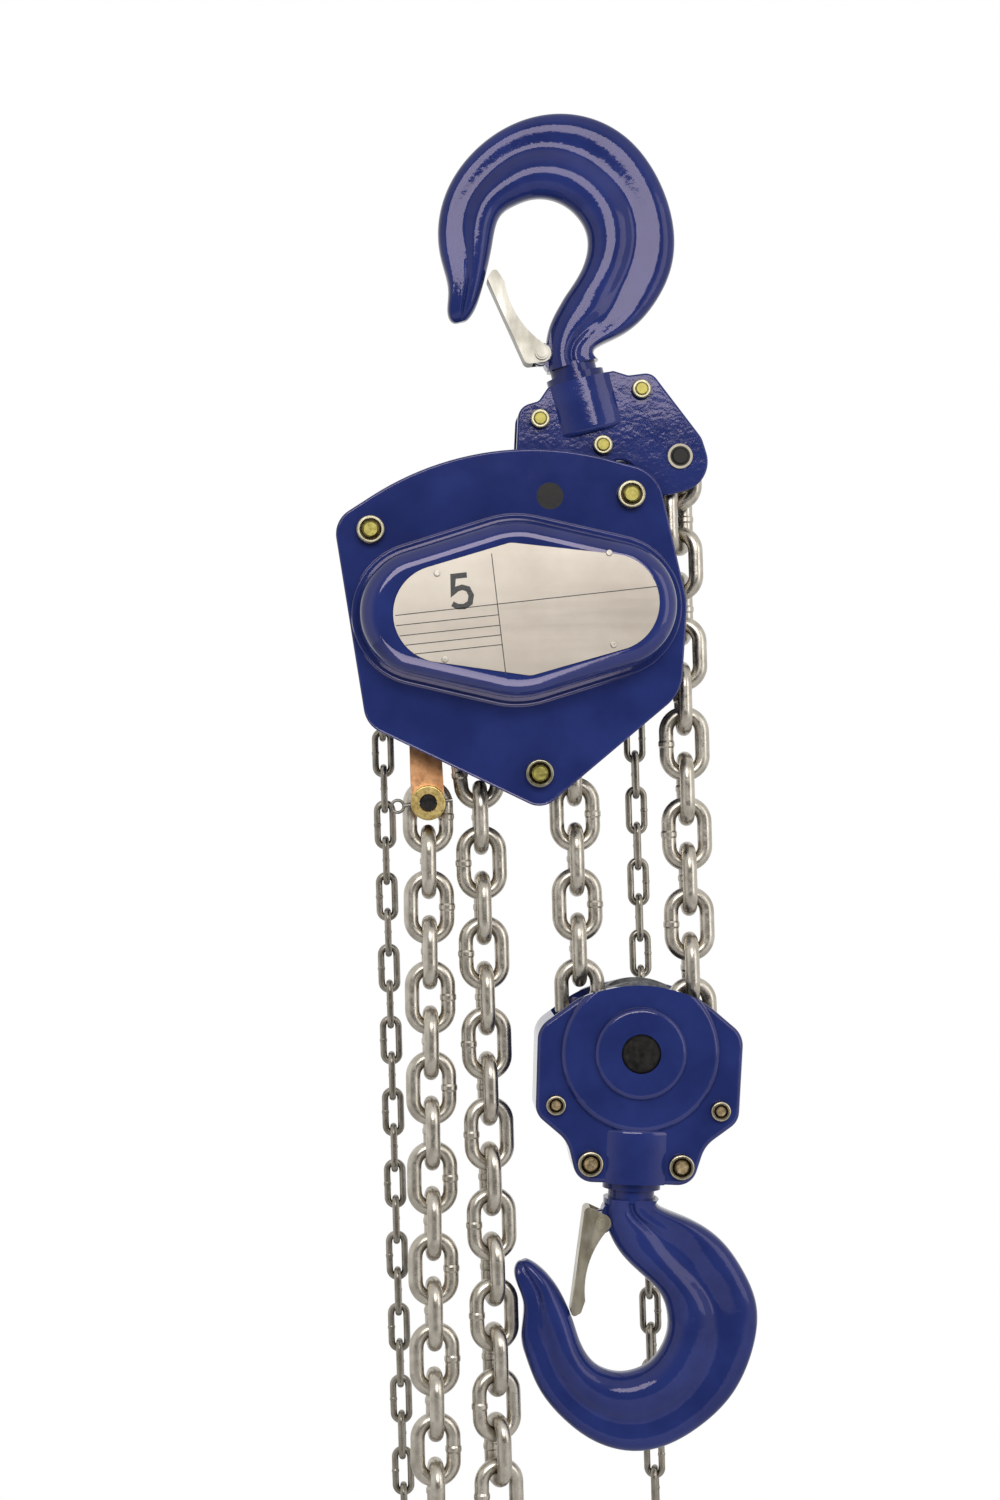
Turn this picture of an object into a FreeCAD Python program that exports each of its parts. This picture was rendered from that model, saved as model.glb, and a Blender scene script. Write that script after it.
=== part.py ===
import FreeCAD, Part
import math
import os
from FreeCAD import Vector

# Chain hoist, hand operated, two falls of load chain. Millimetres.
# Origin on the inner crown of the top hook, where the hoist hangs. X right, Z up, -Y to the front.
# It stands as it hangs: hook and yoke, body, and bottom block each lean by their own angle.

# Lean of each hanging group, in degrees, anticlockwise seen from the front
upper_lean_deg = 13.2
body_lean_deg = 5.0
block_lean_deg = -4.0

# Outline sizes that the share tables follow
hook_size = 100.0
yoke_size = 100.0
case_size = 100.0
block_size = 100.0

# Clearances, and how far a cutter runs past what it cuts
running_gap = 0.08
face_gap = 0.3
overrun = 2.0

# Nearness at which two places count as one, and the halvings of a search
match_gap = 0.03
search_rounds = 50
search_pitches = 3

# Load chain
load_wire = 9.7
load_pitch = 30.0
load_link_width = 33.6
link_play = 0.3
load_weld_height = 0.6
load_weld_length = 5.0

# Hand chain
hand_wire = 4.6
hand_pitch = 25.0
hand_link_width = 15.3
hand_weld_height = 0.3
hand_weld_length = 2.6

# Chain wheels
load_pockets = 4
hand_pockets = 11
load_wheel_half_width = 20.2
hand_wheel_half_width = 10.5
pocket_gap = 0.8
groove_gap = 1.6
wheel_lip = 7.0
hand_wheel_lip = 3.4
load_strand_offset = 38.0

# Side plates of the body
side_plate_inner = 29.0
side_plate_thickness = 6.0
case_sheet = 3.5
case_edge_round = 1.4
side_plate_inset = 1.2

# Gear case dome
dome_step_height = 4.5
dome_height = 36.5
dome_wall = 3.2
dome_step_inset = 3.5
dome_step_draft = 1.17
dome_step_round = 1.17
dome_draft = 4.5
dome_round = 11.5

# Nameplate and its rivets
nameplate_thickness = 0.9
rivet_radius = 2.1
rivet_height = 0.9
rivet_round = 0.54

# Gears
drive_module = 1.3
final_module = 1.82
pinion_teeth = 10
disc_teeth = 60
final_teeth = 40
pressure_angle_deg = 25.0
addendum_share = 0.85
dedendum_share = 1.12
tooth_backlash = 0.16
gear_line_deg = -4.3
final_gear_front = -50.0
final_gear_width = 11.0
disc_gear_front = -62.0
disc_gear_width = 8.0

# Shafts and bearings of the body
drive_shaft_radius = 9.0
drive_nose_radius = 4.9
sheave_bore_radius = 12.0
sheave_journal_radius = 22.0
sheave_hub_radius = 19.0
bearing_outer_radius = 30.0
idle_shaft_radius = 6.6
bush_wall = 2.8
bush_length = 5.2

# Stay bolts and their nuts
stay_bolt_radius = 5.25
stay_tube_radius = 7.0
stay_nut_radius = 9.1
stay_nut_height = 8.0
stay_end = 1.2
nut_rim = 1.9
nut_rim_round = 0.95
nut_recess = 2.2

# Suspension pin between yoke and body
suspension_pin_radius = 8.75
suspension_bush_radius = 13.0

# Brake, ratchet and pawls behind the body
brake_hub_front = 38.0
brake_flange_radius = 38.0
brake_flange_width = 6.0
brake_hub_radius = 15.0
friction_radius = 36.0
friction_width = 3.0
ratchet_radius = 46.0
ratchet_root_radius = 40.0
ratchet_width = 8.0
ratchet_teeth = 12
pawl_stud_distance = 62.0
pawl_angles_deg = (150.0, 330.0)
pawl_back_deg = 25.0
pawl_hub_radius = 8.0
pawl_nose_radius = 1.6
pawl_stud_radius = 5.0
pawl_stud_head = 7.0
pawl_stud_head_height = 2.0
pawl_spring_wall = 1.2
pawl_gap = 0.7

# Hand wheel and its cover
hand_chain_plane = 95.0
hand_hub_radius = 20.0
hand_web_width = 7.0
hand_rim_depth = 9.0
castle_nut_radius = 15.0
castle_nut_height = 8.0
castle_slot = 4.0
castle_slots = 6
cover_radius = 100.0
cover_sheet = 2.5
cover_round = 5.0
cover_depth = 81.0
cover_flange = 3.0
cover_lug_radius = 12.5
cover_mouth = 24.0
cover_mouth_height = 52.0
cover_mouth_half_width = 12.0

# Finger that lifts the slack chain out of the load sheave
stripper_pin_radius = 4.0
stripper_half_width = 4.2

# Yoke plates
yoke_half_thickness = 22.5
yoke_plate_thickness = 6.3
yoke_edge_round = 1.6
yoke_neck_depth = 28.9
yoke_neck_half_width = 20.0
yoke_neck_height = 36.0
neck_foot_round = 4.0
yoke_bolt_radius = 4.1
yoke_nut_radius = 6.35
yoke_nut_height = 6.0
yoke_bolt_end = 1.0
yoke_boss_radius = 8.2
anchor_pin_radius = 5.5
anchor_boss_radius = 9.6
anchor_boss_inner = 9.3
anchor_ring_radius = 8.2
anchor_ring_width = 2.4
anchor_pin_end = 1.0

# Hooks
hook_shank_radius = 10.3
hook_collar_radius = 19.3
hook_collar_height = 5.4
hook_neck_radius = 15.4
hook_nut_radius = 15.0
hook_nut_height = 12.0
neck_cavity_radius = 16.4
neck_shoulder = 11.4
thrust_ball_radius = 1.9
thrust_race_width = 1.3
thrust_balls = 12
hook_bead_half = 15.5
hook_web_half = 10.2
latch_pin_radius = 3.2
latch_head_radius = 4.5
latch_head_height = 1.5
latch_pin_end = 0.8
latch_waist_radius = 60.0
latch_waist_pass = 1.4
latch_half_width = 10.4
latch_sheet = 1.7
latch_ear_half = 8.3
latch_ear_radius = 7.0
latch_spring_radius = 5.2
latch_spring_half = 2.7
latch_open_deg = 32.0
latch_cuts = 6

# Tail anchor of the slack chain
strap_width = 20.0
strap_sheet = 3.0
strap_gap = 6.4
strap_eye_radius = 11.0
tail_pin_radius = 5.4
tail_nut_radius = 11.5
tail_nut_height = 9.0
tail_nut_bore = 5.9
tail_pin_back = 5.0
cotter_wire = 1.3
cotter_reach = 19.0
cotter_loop = 4.0
cotter_loop_wire = 1.04
strap_bolt_radius = 4.0

# Bottom block
block_face = 24.0
block_wall = 3.5
block_edge_round = 3.0
block_dome_radius = 52.5
block_dome_height = 4.4
block_dome_round = 4.1
block_hub_radius = 30.5
block_hub_height = 3.8
block_hub_round = 3.5
block_axle_radius = 13.0
block_axle_end = 0.8
block_bush_radius = 17.0
block_mouth_half = 57.5
block_neck_depth = 28.6
block_neck_half_width = 19.5
block_neck_height = 37.0
block_bolt_radius = 3.3
block_nut_radius = 6.5
block_lower_bolt_radius = 4.6
block_lower_nut_radius = 8.3
block_nut_height = 5.6
block_bolt_end = 0.6

# Reach of the chains
block_drop = 391.8
slack_foot = -905.0
hand_foot = -905.0
slack_exit_drop = 113.0
slack_lean = 8.0
slack_gap = 1.0
dead_fall_turned = 80.0

# Twist of the hanging runs about their own line, in degrees, and how late it comes along them
anchored_twist_deg = 19.0
dead_fall_twist_deg = 30.0
slack_exit_twist_deg = -22.0
slack_tail_twist_deg = 7.0
hand_left_twist_deg = 8.0
hand_right_twist_deg = -42.0
slack_twist_power = 1.0
hand_twist_power = 3.0
untwist_start = 60.0
untwist_end = 0.0

# Shapes, as shares of their own sizes
thread_chamfer_share = 0.167
longest_step_share = 1.8
ratchet_tooth_shares = (0.0, 0.33, 0.67, 1.0)
latch_swing_shares = (0.0, 0.33, 0.67, 1.0)

# Half section of a hook: run and half thickness of the bead, the crease after it, then those of the web
bead_run_share = 0.56
bead_section_shares = ((0.0, 0.0), (0.07, 0.55), (0.28, 0.9), (0.5, 1.0), (0.76, 0.93), (0.92, 0.78))
crease_share = 0.08
web_section_shares = ((0.3, 1.0), (0.8, 0.96), (0.95, 0.62), (1.0, 0.0))

# Places, as shares of the outline sizes. Hook and yoke are taken from the hook seat.
shank_share = -0.067
collar_share = -1.252
suspension_pin_shares = (-0.462, -1.96)
anchor_pin_shares = (0.447, -1.912)
yoke_bolt_shares = ((-0.385, -1.444), (0.311, -1.423), (-0.029, -1.714))
yoke_outline_shares = (
    (-0.67, -2.18, 0.2), (-0.27, -2.18, 0.17), (-0.2, -1.87, 0.12), (0.1, -1.82, 0.12),
    (0.24, -2.14, 0.14), (0.635, -2.14, 0.2), (0.62, -1.83, 0.15), (0.41, -1.33, 0.09),
    (0.255, -1.31, 0.05), (0.165, -1.255, 0.035), (-0.28, -1.255, 0.03), (-0.36, -1.325, 0.05),
    (-0.5, -1.33, 0.1), (-0.585, -1.6, 0.3), (-0.67, -1.85, 0.2))
top_latch_pivot_shares = (-0.25, -1.01)
top_latch_shares = (
    (-0.335, -1.02, 0.04), (-0.25, -1.01, 0.062), (-0.418, -0.425, 0.026), (-0.45, -0.45, 0.022))

# Top hook stations from tip to neck: inner x, z, outer x, z, bead and web half thickness
top_hook_shares = (
    (-0.672, -0.668, -0.738, -0.668, 0.25, 0.22), (-0.628, -0.64, -0.772, -0.648, 0.5, 0.6),
    (-0.575, -0.58, -0.782, -0.59, 0.66, 0.85), (-0.49, -0.44, -0.742, -0.455, 0.76, 0.98),
    (-0.41, -0.29, -0.732, -0.29, 0.84, 1.0), (-0.345, -0.15, -0.718, -0.1, 0.9, 1.0),
    (-0.27, -0.045, -0.62, 0.14, 0.95, 1.0), (-0.14, 0.0, -0.38, 0.38, 1.0, 1.0),
    (0.0, 0.0, -0.02, 0.52, 1.0, 1.0), (0.125, -0.06, 0.34, 0.49, 1.0, 1.0),
    (0.22, -0.18, 0.66, 0.26, 1.0, 1.0), (0.25, -0.32, 0.815, -0.12, 1.0, 1.0),
    (0.2, -0.47, 0.815, -0.46, 1.0, 1.0), (0.08, -0.61, 0.7, -0.73, 1.0, 1.0),
    (-0.04, -0.72, 0.48, -0.94, 1.0, 1.05), (-0.15, -0.85, 0.25, -1.03, 1.0, 1.2),
    (-0.21, -0.985, 0.12, -1.06, 1.0, 1.3), (-0.243, -1.14, 0.109, -1.14, 1.08, 1.45))

# Body places from the load sheave axis
suspension_from_sheave_shares = (0.315, 0.72)
stay_bolt_shares = ((-0.872, 0.63), (0.84, 0.668), (0.038, -1.067))
case_belt_shares = (
    (0.03, -1.13, 0.15), (0.76, -0.48, 0.29), (0.68, -0.05, 0.445), (0.8, 0.62, 0.25),
    (0.019, -0.889, 1.94), (-0.92, 0.61, 0.18), (-0.86, -0.52, 0.19))
dome_belt_shares = (
    (-0.595, 0.05, 0.475), (0.01, 0.005, 0.635), (0.625, -0.04, 0.475), (0.01, 0.005, 0.635))
nameplate_belt_shares = ((-0.485, 0.02, 0.31), (0.04, -0.32, 0.115), (0.6, -0.03, 0.31), (0.0, 0.305, 0.115))
rivet_shares = ((-0.486, 0.279), (0.623, 0.286), (0.584, -0.301), (-0.499, -0.272))
strap_top_shares = (-0.66, -0.6)
tail_pin_shares = (-0.7, -1.18)
stripper_shares = ((0.0, -0.3, 0.04), (-0.02, -0.72, 0.06), (0.04, -0.72, 0.06))
stripper_pin_share = -0.72

# Block places from the block axle
block_outline_shares = (
    (-0.38, -0.864, 0.13), (0.38, -0.864, 0.13), (0.455, -0.6, 0.22), (0.672, -0.43, 0.13),
    (0.68, 0.14, 0.16), (0.38, 0.375, 0.6), (0.0, 0.475, 0.85), (-0.38, 0.375, 0.6),
    (-0.68, 0.14, 0.16), (-0.672, -0.43, 0.13), (-0.455, -0.6, 0.22))
block_bolt_shares = ((-0.543, -0.36), (0.543, -0.36))
block_lower_bolt_shares = ((-0.3, -0.737), (0.3, -0.737))
block_foot_share = -0.864
bottom_latch_pivot_shares = (-0.194, -1.152)
bottom_latch_shares = (
    (-0.351, -1.746, 0.024), (-0.329, -1.733, 0.024), (-0.194, -1.152, 0.062), (-0.285, -1.08, 0.03))
bottom_hook_shares = (
    (-0.675, -1.418, -0.735, -1.438, 0.25, 0.22), (-0.64, -1.432, -0.758, -1.492, 0.5, 0.6),
    (-0.58, -1.472, -0.738, -1.582, 0.64, 0.8), (-0.51, -1.54, -0.69, -1.71, 0.76, 0.96),
    (-0.43, -1.655, -0.694, -1.92, 0.86, 1.0), (-0.36, -1.8, -0.66, -2.06, 0.93, 1.0),
    (-0.302, -1.95, -0.57, -2.26, 1.0, 1.0), (-0.215, -2.08, -0.4, -2.46, 1.0, 1.0),
    (-0.12, -2.135, -0.2, -2.6, 1.0, 1.0), (-0.01, -2.149, 0.02, -2.665, 1.0, 1.0),
    (0.12, -2.11, 0.27, -2.635, 1.0, 1.0), (0.21, -2.03, 0.52, -2.49, 1.0, 1.0),
    (0.265, -1.92, 0.737, -2.257, 1.0, 1.0), (0.28, -1.79, 0.858, -1.95, 1.0, 1.0),
    (0.23, -1.63, 0.87, -1.68, 1.0, 1.0), (0.09, -1.49, 0.76, -1.43, 1.0, 1.05),
    (-0.05, -1.36, 0.58, -1.22, 1.0, 1.1), (-0.13, -1.235, 0.37, -1.105, 1.0, 1.25),
    (-0.172, -1.11, 0.2, -1.04, 1.04, 1.4), (-0.183, -0.985, 0.183, -0.985, 1.12, 1.5))


def scaled(shares, size):
    return [tuple(share * size for share in row) for row in shares]


def turned(point, angle_deg):
    turn = math.radians(angle_deg)
    return (point[0] * math.cos(turn) - point[1] * math.sin(turn),
            point[0] * math.sin(turn) + point[1] * math.cos(turn))


def added(first, second):
    return first[0] + second[0], first[1] + second[1]


def leaned(shape, place, angle_deg):
    moved = shape.copy()
    moved.rotate(Vector(0, 0, 0), Vector(0, -1, 0), angle_deg)
    moved.translate(Vector(place[0], 0, place[1]))
    return moved


def rod(place, radius, front, back):
    return Part.makeCylinder(radius, back - front, Vector(place[0], front, place[1]), Vector(0, 1, 0))


def ring(place, outer, inner, front, back):
    return rod(place, outer, front, back).cut(rod(place, inner, front - overrun, back + overrun))


def post(place, radius, low, high):
    return Part.makeCylinder(radius, high - low, Vector(place, 0, low))


def mirrored(shape):
    return shape.mirror(Vector(0, 0, 0), Vector(0, 1, 0))


def both_sides(shape):
    return Part.makeCompound([shape, mirrored(shape)])


def fused(shapes):
    return shapes[0].multiFuse(shapes[1:]).removeSplitter()


# Closed outline of straight runs with a tangent arc at each corner
def rounded_outline(corners, depth):
    count = len(corners)
    starts, middles, ends = [], [], []
    for index, (x, z, radius) in enumerate(corners):
        here = Vector(x, depth, z)
        before = corners[index - 1]
        after = corners[(index + 1) % count]
        to_before = Vector(before[0], depth, before[1]).sub(here).normalize()
        to_after = Vector(after[0], depth, after[1]).sub(here).normalize()
        half = to_before.getAngle(to_after) / 2
        reach = radius / math.tan(half)
        inward = to_before.add(to_after).normalize()
        starts.append(here.add(to_before * reach))
        ends.append(here.add(to_after * reach))
        middles.append(here.add(inward * (radius / math.sin(half) - radius)))
    edges = []
    for index in range(count):
        edges.append(Part.Arc(starts[index], middles[index], ends[index]).toShape())
        edges.append(Part.LineSegment(ends[index], starts[(index + 1) % count]).toShape())
    return Part.Wire(edges)


# Convex outline that runs round circles like a belt, anticlockwise seen from the front
def belt_outline(circles, depth):
    count = len(circles)
    leaving = []
    for index in range(count):
        x0, z0, r0 = circles[index]
        x1, z1, r1 = circles[(index + 1) % count]
        span = math.hypot(x1 - x0, z1 - z0)
        heading = math.atan2(z1 - z0, x1 - x0)
        leaving.append(heading - math.pi / 2 + math.asin((r0 - r1) / span))
    edges = []
    for index in range(count):
        x, z, radius = circles[index]
        first = leaving[index - 1]
        last = first + (leaving[index] - first) % (2 * math.pi)
        middle = (first + last) / 2
        points = [Vector(x + radius * math.cos(a), depth, z + radius * math.sin(a))
                  for a in (first, middle, last)]
        edges.append(Part.Arc(*points).toShape())
        x1, z1, r1 = circles[(index + 1) % count]
        a = leaving[index]
        onward = Vector(x1 + r1 * math.cos(a), depth, z1 + r1 * math.sin(a))
        edges.append(Part.LineSegment(points[2], onward).toShape())
    return Part.Wire(edges)


def grown(circles, amount):
    return [(x, z, radius + amount) for x, z, radius in circles]


def slab(outline, thickness):
    return Part.Face(outline).extrude(Vector(0, thickness, 0))


# Slab whose edges on the front face are rounded
def soft_slab(outline, thickness, radius):
    block = slab(outline, thickness)
    front = outline.BoundBox.YMin
    edges = [edge for edge in block.Edges if abs(edge.BoundBox.YMin - front) < match_gap
             and abs(edge.BoundBox.YMax - front) < match_gap]
    return block.makeFillet(radius, edges)


# Round lock nut: a rim, a recess and the thread end standing in it
def lock_nut(place, radius, bore, seat, height):
    body = rod(place, radius, seat - height, seat)
    edge = [e for e in body.Edges if abs(e.BoundBox.YMax - (seat - height)) < match_gap]
    body = body.makeFillet(nut_rim_round, edge)
    recess = rod(place, radius - nut_rim, seat - height - overrun, seat - height + nut_recess)
    return body.cut(recess).cut(rod(place, bore, seat - height - overrun, seat + overrun))


def thread_end(place, radius, front, back):
    body = rod(place, radius, front, back)
    ends = [e for e in body.Edges if e.BoundBox.YLength < match_gap]
    return body.makeChamfer(radius * thread_chamfer_share, ends)


# Chains

def link_shape(wire, pitch, width, weld_height, weld_length):
    arc_radius = (width - wire) / 2
    straight = (pitch + link_play + wire) / 2 - arc_radius
    pieces = []
    for side in (1, -1):
        bend = Part.makeTorus(arc_radius, wire / 2, Vector(0, 0, 0), Vector(0, 1, 0))
        half = Part.makeBox(width, width, width, Vector(-width / 2, -width / 2, 0))
        bend = bend.common(half)
        if side < 0:
            bend.rotate(Vector(0, 0, 0), Vector(0, 1, 0), 180)
        bend.translate(Vector(0, 0, side * straight))
        pieces.append(bend)
        pieces.append(Part.makeCylinder(wire / 2, 2 * straight, Vector(side * arc_radius, 0, -straight)))
    waist = wire / 2 + weld_height
    foot = weld_length / 2
    bead = [Vector(0, 0, -foot), Vector(wire / 2, 0, -foot), Vector(waist, 0, -foot / 2),
            Vector(waist, 0, foot / 2), Vector(wire / 2, 0, foot), Vector(0, 0, foot), Vector(0, 0, -foot)]
    weld = Part.Face(Part.makePolygon(bead)).revolve(Vector(0, 0, 0), Vector(0, 0, 1), 360)
    weld.translate(Vector(arc_radius, 0, 0))
    pieces.append(weld)
    return fused(pieces)


# A chain's path: straight runs and arcs, read by the distance along it
def run_of(start, end):
    return ("run", start, end, math.dist(start, end))


def bend_of(centre, radius, first_deg, last_deg):
    return ("bend", centre, radius, abs(math.radians(last_deg - first_deg)), first_deg, last_deg)


def piece_length(piece):
    if piece[0] == "run":
        return piece[3]
    return piece[2] * piece[3]


def path_point(path, distance):
    for piece in path:
        length = piece_length(piece)
        if distance <= length or piece is path[-1]:
            share = distance / length
            if piece[0] == "run":
                return (piece[1][0] + (piece[2][0] - piece[1][0]) * share,
                        piece[1][1] + (piece[2][1] - piece[1][1]) * share)
            angle = math.radians(piece[4] + (piece[5] - piece[4]) * share)
            return piece[1][0] + piece[2] * math.cos(angle), piece[1][1] + piece[2] * math.sin(angle)
        distance -= length
    return None


# Next place along the path at a straight distance from the last one
def stepped(path, distance, reach):
    here = path_point(path, distance)
    low = distance + reach
    high = distance + reach * longest_step_share
    for turn in range(search_rounds):
        middle = (low + high) / 2
        if math.dist(here, path_point(path, middle)) < reach:
            low = middle
        else:
            high = middle
    return (low + high) / 2


def pivots_along(path, links, wire, pitch, flat_first):
    outer_span = pitch + link_play + wire
    inner_span = 2 * pitch - outer_span
    distances = [0.0]
    for index in range(links):
        flat = (index % 2 == 0) == flat_first
        distances.append(stepped(path, distances[-1], outer_span if flat else inner_span))
    return distances


# Place for the foot of a loop at which a whole number of links closes it
def closing_foot(path_at, first_guess, links, wire, pitch, flat_first):
    low = first_guess - search_pitches * pitch
    high = first_guess + search_pitches * pitch
    for turn in range(search_rounds):
        middle = (low + high) / 2
        path = path_at(middle)
        spare = sum(piece_length(piece) for piece in path)
        spare -= pivots_along(path, links, wire, pitch, flat_first)[-1]
        if spare > 0:
            low = middle
        else:
            high = middle
    return (low + high) / 2


def chain_links(path, distances, flat_first, link, plane, twist_at):
    links = []
    for index in range(len(distances) - 1):
        start = path_point(path, distances[index])
        end = path_point(path, distances[index + 1])
        flat = (index % 2 == 0) == flat_first
        middle = ((start[0] + end[0]) / 2, (start[1] + end[1]) / 2)
        heading = heading_of(start, end)
        piece = link.copy()
        piece.rotate(Vector(0, 0, 0), Vector(0, 0, 1), (90 if flat else 0) + twist_at(middle[0], middle[1]))
        piece.rotate(Vector(0, 0, 0), Vector(0, -1, 0), heading - 90)
        piece.translate(Vector(middle[0], plane, middle[1]))
        links.append((piece, middle, flat, heading))
    return links


def pivot_radius(pitch, wire, pockets):
    outer_span = pitch + link_play + wire
    inner_span = 2 * pitch - outer_span
    low = outer_span / 2
    high = outer_span * pockets
    for turn in range(search_rounds):
        middle = (low + high) / 2
        turn_angle = math.asin(outer_span / 2 / middle) + math.asin(inner_span / 2 / middle)
        if turn_angle > math.pi / pockets:
            low = middle
        else:
            high = middle
    return (low + high) / 2


# Pocket wheel: a groove for the standing links and a seat for each flat one
def pocket_wheel(pitch, wire, width, pockets, half_width, lip, core, first_deg, passing):
    radius = pivot_radius(pitch, wire, pockets)
    outer_span = pitch + link_play + wire
    inner_span = 2 * pitch - outer_span
    flat_radius = math.sqrt(radius ** 2 - (outer_span / 2) ** 2)
    stand_radius = math.sqrt(radius ** 2 - (inner_span / 2) ** 2)
    rim = radius + lip
    wheel = ring((0, 0), rim, core, -half_width, half_width)
    groove_floor = stand_radius - width / 2 - pocket_gap * 2
    groove_half = (wire + groove_gap) / 2
    groove = ring((0, 0), rim + overrun, groove_floor, -groove_half, groove_half)
    seat_half = (outer_span + wire) / 2 + pocket_gap
    seat_width = width / 2 + pocket_gap
    centre = seat_half - seat_width
    quarters = ((-1, -1), (1, -1), (1, 1), (-1, 1))
    corners = [Vector(side * centre, edge * seat_width, 0) for side, edge in quarters]
    face = Part.Wire([
        Part.LineSegment(corners[0], corners[1]).toShape(),
        Part.Arc(corners[1], Vector(seat_half, 0, 0), corners[2]).toShape(),
        Part.LineSegment(corners[2], corners[3]).toShape(),
        Part.Arc(corners[3], Vector(-seat_half, 0, 0), corners[0]).toShape()])
    seat = Part.Face(face).extrude(Vector(0, 0, rim))
    seat.translate(Vector(0, 0, -wire / 2 - pocket_gap))
    cutters = [groove]
    for away, across_deg, tilt_deg in [(flat_radius, 0, 0)] + passing:
        for index in range(pockets):
            cutter = seat.copy()
            cutter.rotate(Vector(0, 0, 0), Vector(0, -1, 0), tilt_deg)
            cutter.translate(Vector(0, 0, away))
            around_deg = first_deg - 90 + across_deg + 360 / pockets * index
            cutter.rotate(Vector(0, 0, 0), Vector(0, -1, 0), around_deg)
            cutters.append(cutter)
    return wheel.cut(cutters)


# Gears

def gear(teeth, module, front, width, tooth_deg, bore):
    pitch_radius = module * teeth / 2
    base = pitch_radius * math.cos(math.radians(pressure_angle_deg))
    tip = pitch_radius + addendum_share * module
    root = pitch_radius - dedendum_share * module

    def roll(radius):
        angle = math.acos(min(1, base / radius))
        return math.tan(angle) - angle

    half = math.pi / 2 / teeth - tooth_backlash / 4 / pitch_radius + roll(pitch_radius)
    low = max(base, root)
    heights = [root, low, (low + pitch_radius) / 2, (pitch_radius + tip) / 2, tip]
    flank = [(radius, half - roll(max(radius, base))) for radius in heights]
    points = []
    for tooth in range(teeth):
        centre = math.radians(tooth_deg) + 2 * math.pi / teeth * tooth
        outline = [(radius, centre - angle) for radius, angle in flank]
        outline += [(radius, centre + angle) for radius, angle in reversed(flank)]
        for radius, turn in outline:
            points.append(Vector(radius * math.cos(turn), front, radius * math.sin(turn)))
    clean = [points[0]]
    for point in points[1:]:
        if point.distanceToPoint(clean[-1]) > match_gap:
            clean.append(point)
    clean.append(clean[0])
    body = slab(Part.makePolygon(clean), width)
    if bore > 0:
        body = body.cut(rod((0, 0), bore, front - overrun, front + width + overrun))
    return body


# Hooks: sections of a thick inner bead and a thinner outer web, lofted from tip to neck

def hook_section(inner, outer, bead, web):
    span = math.dist(inner, outer)
    across = Vector(outer[0] - inner[0], 0, outer[1] - inner[1]).normalize()
    bead_run = min(2 * bead, span * bead_run_share)
    web_run = span - bead_run
    upper = [(along * bead_run, half * bead) for along, half in bead_section_shares]
    upper.append((bead_run, crease_share * bead + (1 - crease_share) * web))
    upper.extend([(bead_run + along * web_run, half * web) for along, half in web_section_shares])
    row = upper + [(along, -half) for along, half in reversed(upper[:-1])]
    start = Vector(inner[0], 0, inner[1])
    points = [start.add(across * along).add(Vector(0, half, 0)) for along, half in row]
    curve = Part.BSplineCurve()
    curve.interpolate(Points=points)
    return Part.Wire([curve.toShape()])


def upright(x, radius, first, last):
    return post(x, radius, min(first, last), max(first, last))


# Forged hook with its collar and threaded shank; the shank points up (1) or down (-1)
def hook_body(shares, stem_x, face, pointing, shank_length, pivot, latch_circles):
    wires = []
    for inner_x, inner_z, outer_x, outer_z, bead, web in shares:
        inner = (inner_x * hook_size, inner_z * hook_size)
        outer = (outer_x * hook_size, outer_z * hook_size)
        wires.append(hook_section(inner, outer, bead * hook_bead_half, web * hook_web_half))
    blade = Part.makeLoft(wires, True, False)
    collar_back = face - pointing * hook_collar_height
    neck_end = shares[-1][1] * hook_size
    neck = upright(stem_x, hook_neck_radius, neck_end - pointing * overrun, collar_back)
    collar = upright(stem_x, hook_collar_radius, collar_back, face)
    shank = upright(stem_x, hook_shank_radius, face, face + pointing * shank_length)
    ear = rod(pivot, latch_ear_radius, -latch_ear_half, latch_ear_half)
    ear_root = rod((pivot[0] + latch_ear_radius, pivot[1] + pointing * latch_ear_radius), latch_ear_radius,
                   -latch_ear_half, latch_ear_half)
    body = fused([blade, neck, collar, shank, ear, ear_root])
    cutters = [rod(pivot, latch_pin_radius, -hook_size, hook_size),
               rod(pivot, latch_ear_radius + face_gap, -latch_spring_half - face_gap,
                   latch_spring_half + face_gap)]
    depth = hook_bead_half * 2
    for share in latch_swing_shares:
        circles = []
        for x, z, radius in latch_circles:
            swung = added(pivot, turned((x - pivot[0], z - pivot[1]), latch_open_deg * share * pointing))
            circles.append((swung[0], swung[1], radius + 2 * face_gap))
        flat = slab(belt_outline(circles, latch_ear_half), depth)
        cutters.extend([flat, mirrored(flat)])
    return body.cut(cutters)


# Latch pressed from sheet: two cheeks and a back, open towards the bowl and the neck
def latch_body(circles, pivot, tip, pointing):
    body = slab(belt_outline(circles, -latch_half_width), 2 * latch_half_width)
    half = latch_half_width - latch_sheet
    past = latch_half_width + overrun
    along = (tip[0] - pivot[0]) / 2, (tip[1] - pivot[1]) / 2
    away = (latch_waist_radius - latch_waist_pass) / math.hypot(*along)
    waist = (pivot[0] + along[0] + abs(along[1]) * away, pivot[1] + along[1] + along[0] * pointing * away)
    cutters = [rod(pivot, latch_pin_radius + running_gap, -past, past),
               rod(waist, latch_waist_radius, -past, past)]
    for index in range(latch_cuts):
        shift = index * latch_sheet
        shifted = [(x + shift, z + shift * pointing, radius - latch_sheet) for x, z, radius in circles]
        cutters.append(slab(belt_outline(shifted, -half), 2 * half))
    return body.cut(cutters)


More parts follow.
